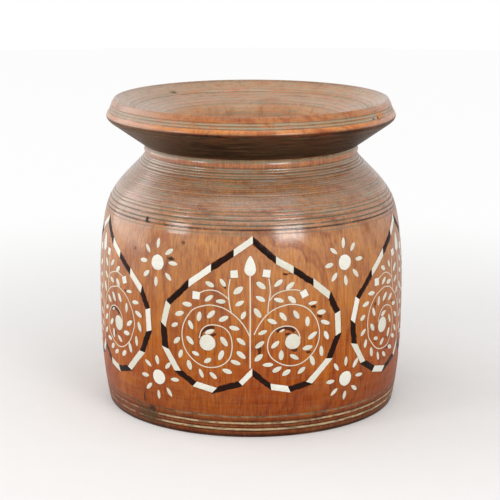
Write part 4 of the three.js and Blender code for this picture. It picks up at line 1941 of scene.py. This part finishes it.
    def finish(self) -> bpy.types.Material:
        """Tints the rim's underside darker and warmer, a painted shade with painted warm bounce light, and fills
        the shader's sockets.

        Returns:
            The finished material.
        """
        wood, sheet, laid, scar = self.wood, self.sheet, self.laid, self.scar
        # painted shade and painted warm bounce light under the rim
        underside_bounce_colour = sheet.blend(1.0, self.colour, wood.painted_warm_bounce, "MULTIPLY")
        dull = self.patina * sheet.step(self.turned, 0.5, 0.62) * 0.12
        rough = 0.36 + self.blotch * 0.1 + dull + laid * 0.3
        height = self.fibres * 0.25 + self.turned * (0.1 + self.patina * 1.15) - self.pores * 0.5
        height = height - scar * 1.4 + self.mottle * 0.8
        gloss = sheet.step(self.z, 70.0, 178.0) * wood.coat_weight + 0.04
        gloss = gloss * (1.0 - self.under) * (1.0 - self.edge * 0.5 - self.dish * 0.3)
        return sheet.dress(
            base_color=sheet.blend(self.under, self.colour, underside_bounce_colour), roughness=rough + self.inside * 0.25,
            normal=sheet.relief(height, wood.relief), specular_ior_level=wood.specular,
            coat_weight=gloss * (1.0 - laid * 0.8) * (1.0 - self.inside) * (1.0 - scar * 0.9),
            coat_roughness=wood.coat_roughness, coat_ior=wood.coat_ior,
        )


@dataclass(frozen=True)
class InlayFinish:
    """A finish for pieces that are let into the wood.

    Attributes:
        name: The material's name.
        light: The lightest pieces' colour.
        deep: The darkest pieces' colour.
        streak: The colour of the streaks along a piece.
        streak_share: How strong the streaks are.
        roughness: How rough the surface is.
        relief: How deep the streaks lie, in millimetres.
        coat: How strong the polish over it is.
        specular: How strongly the surface below the polish reflects.
        grain: Length and breadth of the streaks, in millimetres.
        cloud: Length and breadth of the cloudy places.
        speck: Length and breadth of the small pits.
    """

    name: str
    light: Colour
    deep: Colour
    streak: Colour
    streak_share: float
    roughness: float
    relief: float
    coat: float = 0.15
    specular: float = 0.25
    grain: Point = (5.0, 0.45)
    cloud: Point = (4.0, 3.0)
    speck: Point = (0.9, 0.35)

    def material(self) -> bpy.types.Material:
        """Makes the material.

        Returns:
            The finished material.
        """
        sheet = MaterialSheet(self.name)
        cut = sheet.attribute("cut", "Vector")
        tone = sheet.attribute("tone")
        length, breadth, number = sheet.parts(cut)
        grain, cloud, specks = (
            sheet.noise(sheet.join(length / size[0], breadth / size[1], number * apart), detail, roughness)
            for size, apart, detail, roughness in (
                (self.grain, 13.7, 3.0, 0.6), (self.cloud, 7.3, 2.0, 0.5), (self.speck, 3.1, 1.0, 0.5),
            )
        )
        specks = sheet.step(specks, 0.66, 0.78)
        colour = sheet.blend(tone * 0.75 + cloud * 0.4 - 0.12, self.light, self.deep)
        colour = sheet.blend(sheet.step(grain, 0.45, 0.72) * self.streak_share, colour, self.streak)
        colour = sheet.blend(specks * self.streak_share * 0.8, colour, self.streak)
        height = grain * 0.6 - specks * 0.6 + cloud * 0.5
        return sheet.dress(
            base_color=colour, roughness=self.roughness + cloud * 0.12, normal=sheet.relief(height, self.relief),
            coat_weight=self.coat, coat_roughness=0.18, specular_ior_level=self.specular,
        )


@dataclass(frozen=True)
class Lamp:
    """One soft lamp that faces the pot.

    Attributes:
        name: The lamp's name.
        bearing: How far round from the front it hangs, in degrees, to the right if above 0.
        rise: How far above the horizon it is, in degrees.
        distance: How far from the pot it is, in metres.
        size: Its width and height in metres.
        power: Its power in watts.
    """

    name: str
    bearing: float
    rise: float
    distance: float
    size: Point
    power: float

    def hang(self, aim: float) -> None:
        """Hangs the lamp.

        Args:
            aim: The height on the pot that it faces, in metres.
        """
        light = bpy.data.lights.new(self.name, "AREA")
        light.shape = "RECTANGLE"
        light.size, light.size_y = self.size
        light.energy = self.power
        lamp = bpy.data.objects.new(self.name, light)
        turn, lift = math.radians(self.bearing), math.radians(self.rise)
        way = Vector((math.sin(turn) * math.cos(lift), -math.cos(turn) * math.cos(lift), math.sin(lift)))
        lamp.location = way * self.distance + Vector((0, 0, aim))
        lamp.rotation_euler = way.to_track_quat("Z", "Y").to_euler()
        bpy.context.scene.collection.objects.link(lamp)


@dataclass(frozen=True)
class Studio:
    """A pale floor, soft lamps, a white room, and the camera at the photograph's angle.

    Attributes:
        camera_back: How far in front of the pot's middle the camera stands, in metres.
        camera_rise: How high it stands, in metres.
        camera_dip: How far it looks down, in radians.
        lens: Its focal length in millimetres.
        shift: Its shift to the side, as a share of the picture.
        floor_reach: The floor's radius in metres.
        floor_clear: How far from the pot the floor starts to turn white, in millimetres.
        floor_white: How far from it the floor is white.
        white_near: How much white the camera sees on the floor near the pot.
        white_away: How much more of it there is far away.
        world_strength: How bright the room is.
        aim: The height that the lamps face, in metres.
        lamps: The lamps.
    """

    camera_back: float = 1.5254
    camera_rise: float = 0.4992
    camera_dip: float = 0.23
    lens: float = 116.3
    shift: float = -0.00216
    floor_reach: float = 3.2
    floor_clear: float = 190.0
    floor_white: float = 900.0
    white_near: float = 0.12
    white_away: float = 0.83
    world_strength: float = 0.55
    aim: float = 0.17
    lamps: tuple[Lamp, ...] = (
        Lamp("left_softbox", -57.0, 19.0, 1.7, (0.42, 0.45), 5.0),
        Lamp("right_softbox", 29.0, 19.0, 1.7, (0.6, 0.55), 10.0),
        Lamp("left_screen", -108.0, 16.0, 2.4, (2.2, 1.8), 25.0),
        Lamp("overhead_softbox", 10.0, 74.0, 1.6, (1.4, 1.2), 8.5),
    )

    def floor(self) -> None:
        """Makes the floor, which isn't part of the pot."""
        shape = bmesh.new()
        bmesh.ops.create_circle(shape, cap_ends=True, radius=self.floor_reach, segments=64)
        mesh = bpy.data.meshes.new("floor")
        shape.to_mesh(mesh)
        shape.free()
        sheet = MaterialSheet("pale_floor")
        place = sheet.place()
        grain = sheet.noise(sheet.stretch(place, 26, 26, 26), 3.0)
        colour = sheet.blend(grain, tint(232, 230, 228), tint(236, 234, 232))
        sheet.dress(base_color=colour, roughness=0.7, specular_ior_level=0.2)
        away = sheet.step(sheet.vector("LENGTH", place, output="Value"), self.floor_clear, self.floor_white)
        seen = sheet.out(sheet.node("ShaderNodeLightPath"), "Is Camera Ray")
        white = sheet.node("ShaderNodeEmission", None, {"Color": WHITE, "Strength": 1.0})
        share = seen * (self.white_near + away * self.white_away)
        mixed = sheet.node("ShaderNodeMixShader", None, {0: share, 1: sheet.out(sheet.shader), 2: sheet.out(white)})
        sheet.feed(sheet.output.inputs["Surface"], sheet.out(mixed))
        mesh.materials.append(sheet.material)
        floor = bpy.data.objects.new("floor", mesh)
        bpy.context.scene.collection.objects.link(floor)

    def world(self) -> None:
        """Lights the room softly and shows white behind it."""
        world = bpy.data.worlds.new("studio")
        bpy.context.scene.world = world
        sheet = NodeSheet(world)
        path = sheet.node("ShaderNodeLightPath")
        seen = sheet.math("MAXIMUM", sheet.out(path, "Is Camera Ray"), sheet.out(path, "Is Transmission Ray"))
        seen = sheet.math("MAXIMUM", seen, sheet.out(path, "Is Glossy Ray"))
        soft, white = (
            sheet.out(sheet.node("ShaderNodeBackground", None, {"Color": WHITE, "Strength": strength}))
            for strength in (self.world_strength, 1.0)
        )
        mixed = sheet.node("ShaderNodeMixShader", None, {0: seen, 1: soft, 2: white})
        sheet.node("ShaderNodeOutputWorld", None, {"Surface": sheet.out(mixed)})

    def camera(self) -> None:
        """Sets the camera at the photograph's angle."""
        lens = bpy.data.cameras.new("camera")
        lens.lens = self.lens
        lens.sensor_width = 36.0
        lens.shift_x = self.shift
        camera = bpy.data.objects.new("camera", lens)
        camera.location = (0.0, -self.camera_back, self.camera_rise)
        camera.rotation_euler = (math.pi / 2 - self.camera_dip, 0.0, 0.0)
        bpy.context.scene.collection.objects.link(camera)
        bpy.context.scene.camera = camera

    def build(self) -> None:
        """Sets the studio up."""
        self.floor()
        self.world()
        self.camera()
        for lamp in self.lamps:
            lamp.hang(self.aim)
        bpy.context.scene.view_settings.view_transform = "Standard"


def main() -> None:
    """Builds and dresses the pot, piece by piece, and sets the studio up round it."""
    logging.basicConfig(level=logging.INFO, format="%(message)s")
    wall = Wall()
    pot = TurnedPot(wall)
    pot.measure()
    finishes = Finishes(
        wood=LacqueredWood(pot).material(),
        bone=InlayFinish(
            "polished_bone", tint(231, 231, 221), tint(204, 200, 182), tint(190, 172, 134),
            streak_share=0.35, roughness=0.3, relief=0.03,
        ).material(),
        vine=InlayFinish(
            "cream_cane", tint(222, 211, 193), tint(208, 191, 164), tint(182, 154, 118),
            streak_share=0.3, roughness=0.34, relief=0.03,
        ).material(),
        dark=InlayFinish(
            "dark_strip_wood", tint(14, 6, 3), tint(38, 17, 11), tint(64, 32, 22),
            streak_share=0.45, roughness=0.34, relief=0.05, coat=0.05, specular=0.06,
        ).material(),
        filler=InlayFinish(
            "dark_filler", tint(126, 60, 20), tint(54, 27, 12), tint(84, 40, 16),
            streak_share=0.6, roughness=0.45, relief=0.06, coat=0.05, specular=0.1,
        ).material(),
    )
    pot.build(finishes.wood)
    for number in range(1, PANEL_COUNT + 1):
        HeartPanel(PanelPlace(number, wall)).build(finishes)
    Studio().build()


if __name__ == "__main__":
    main()
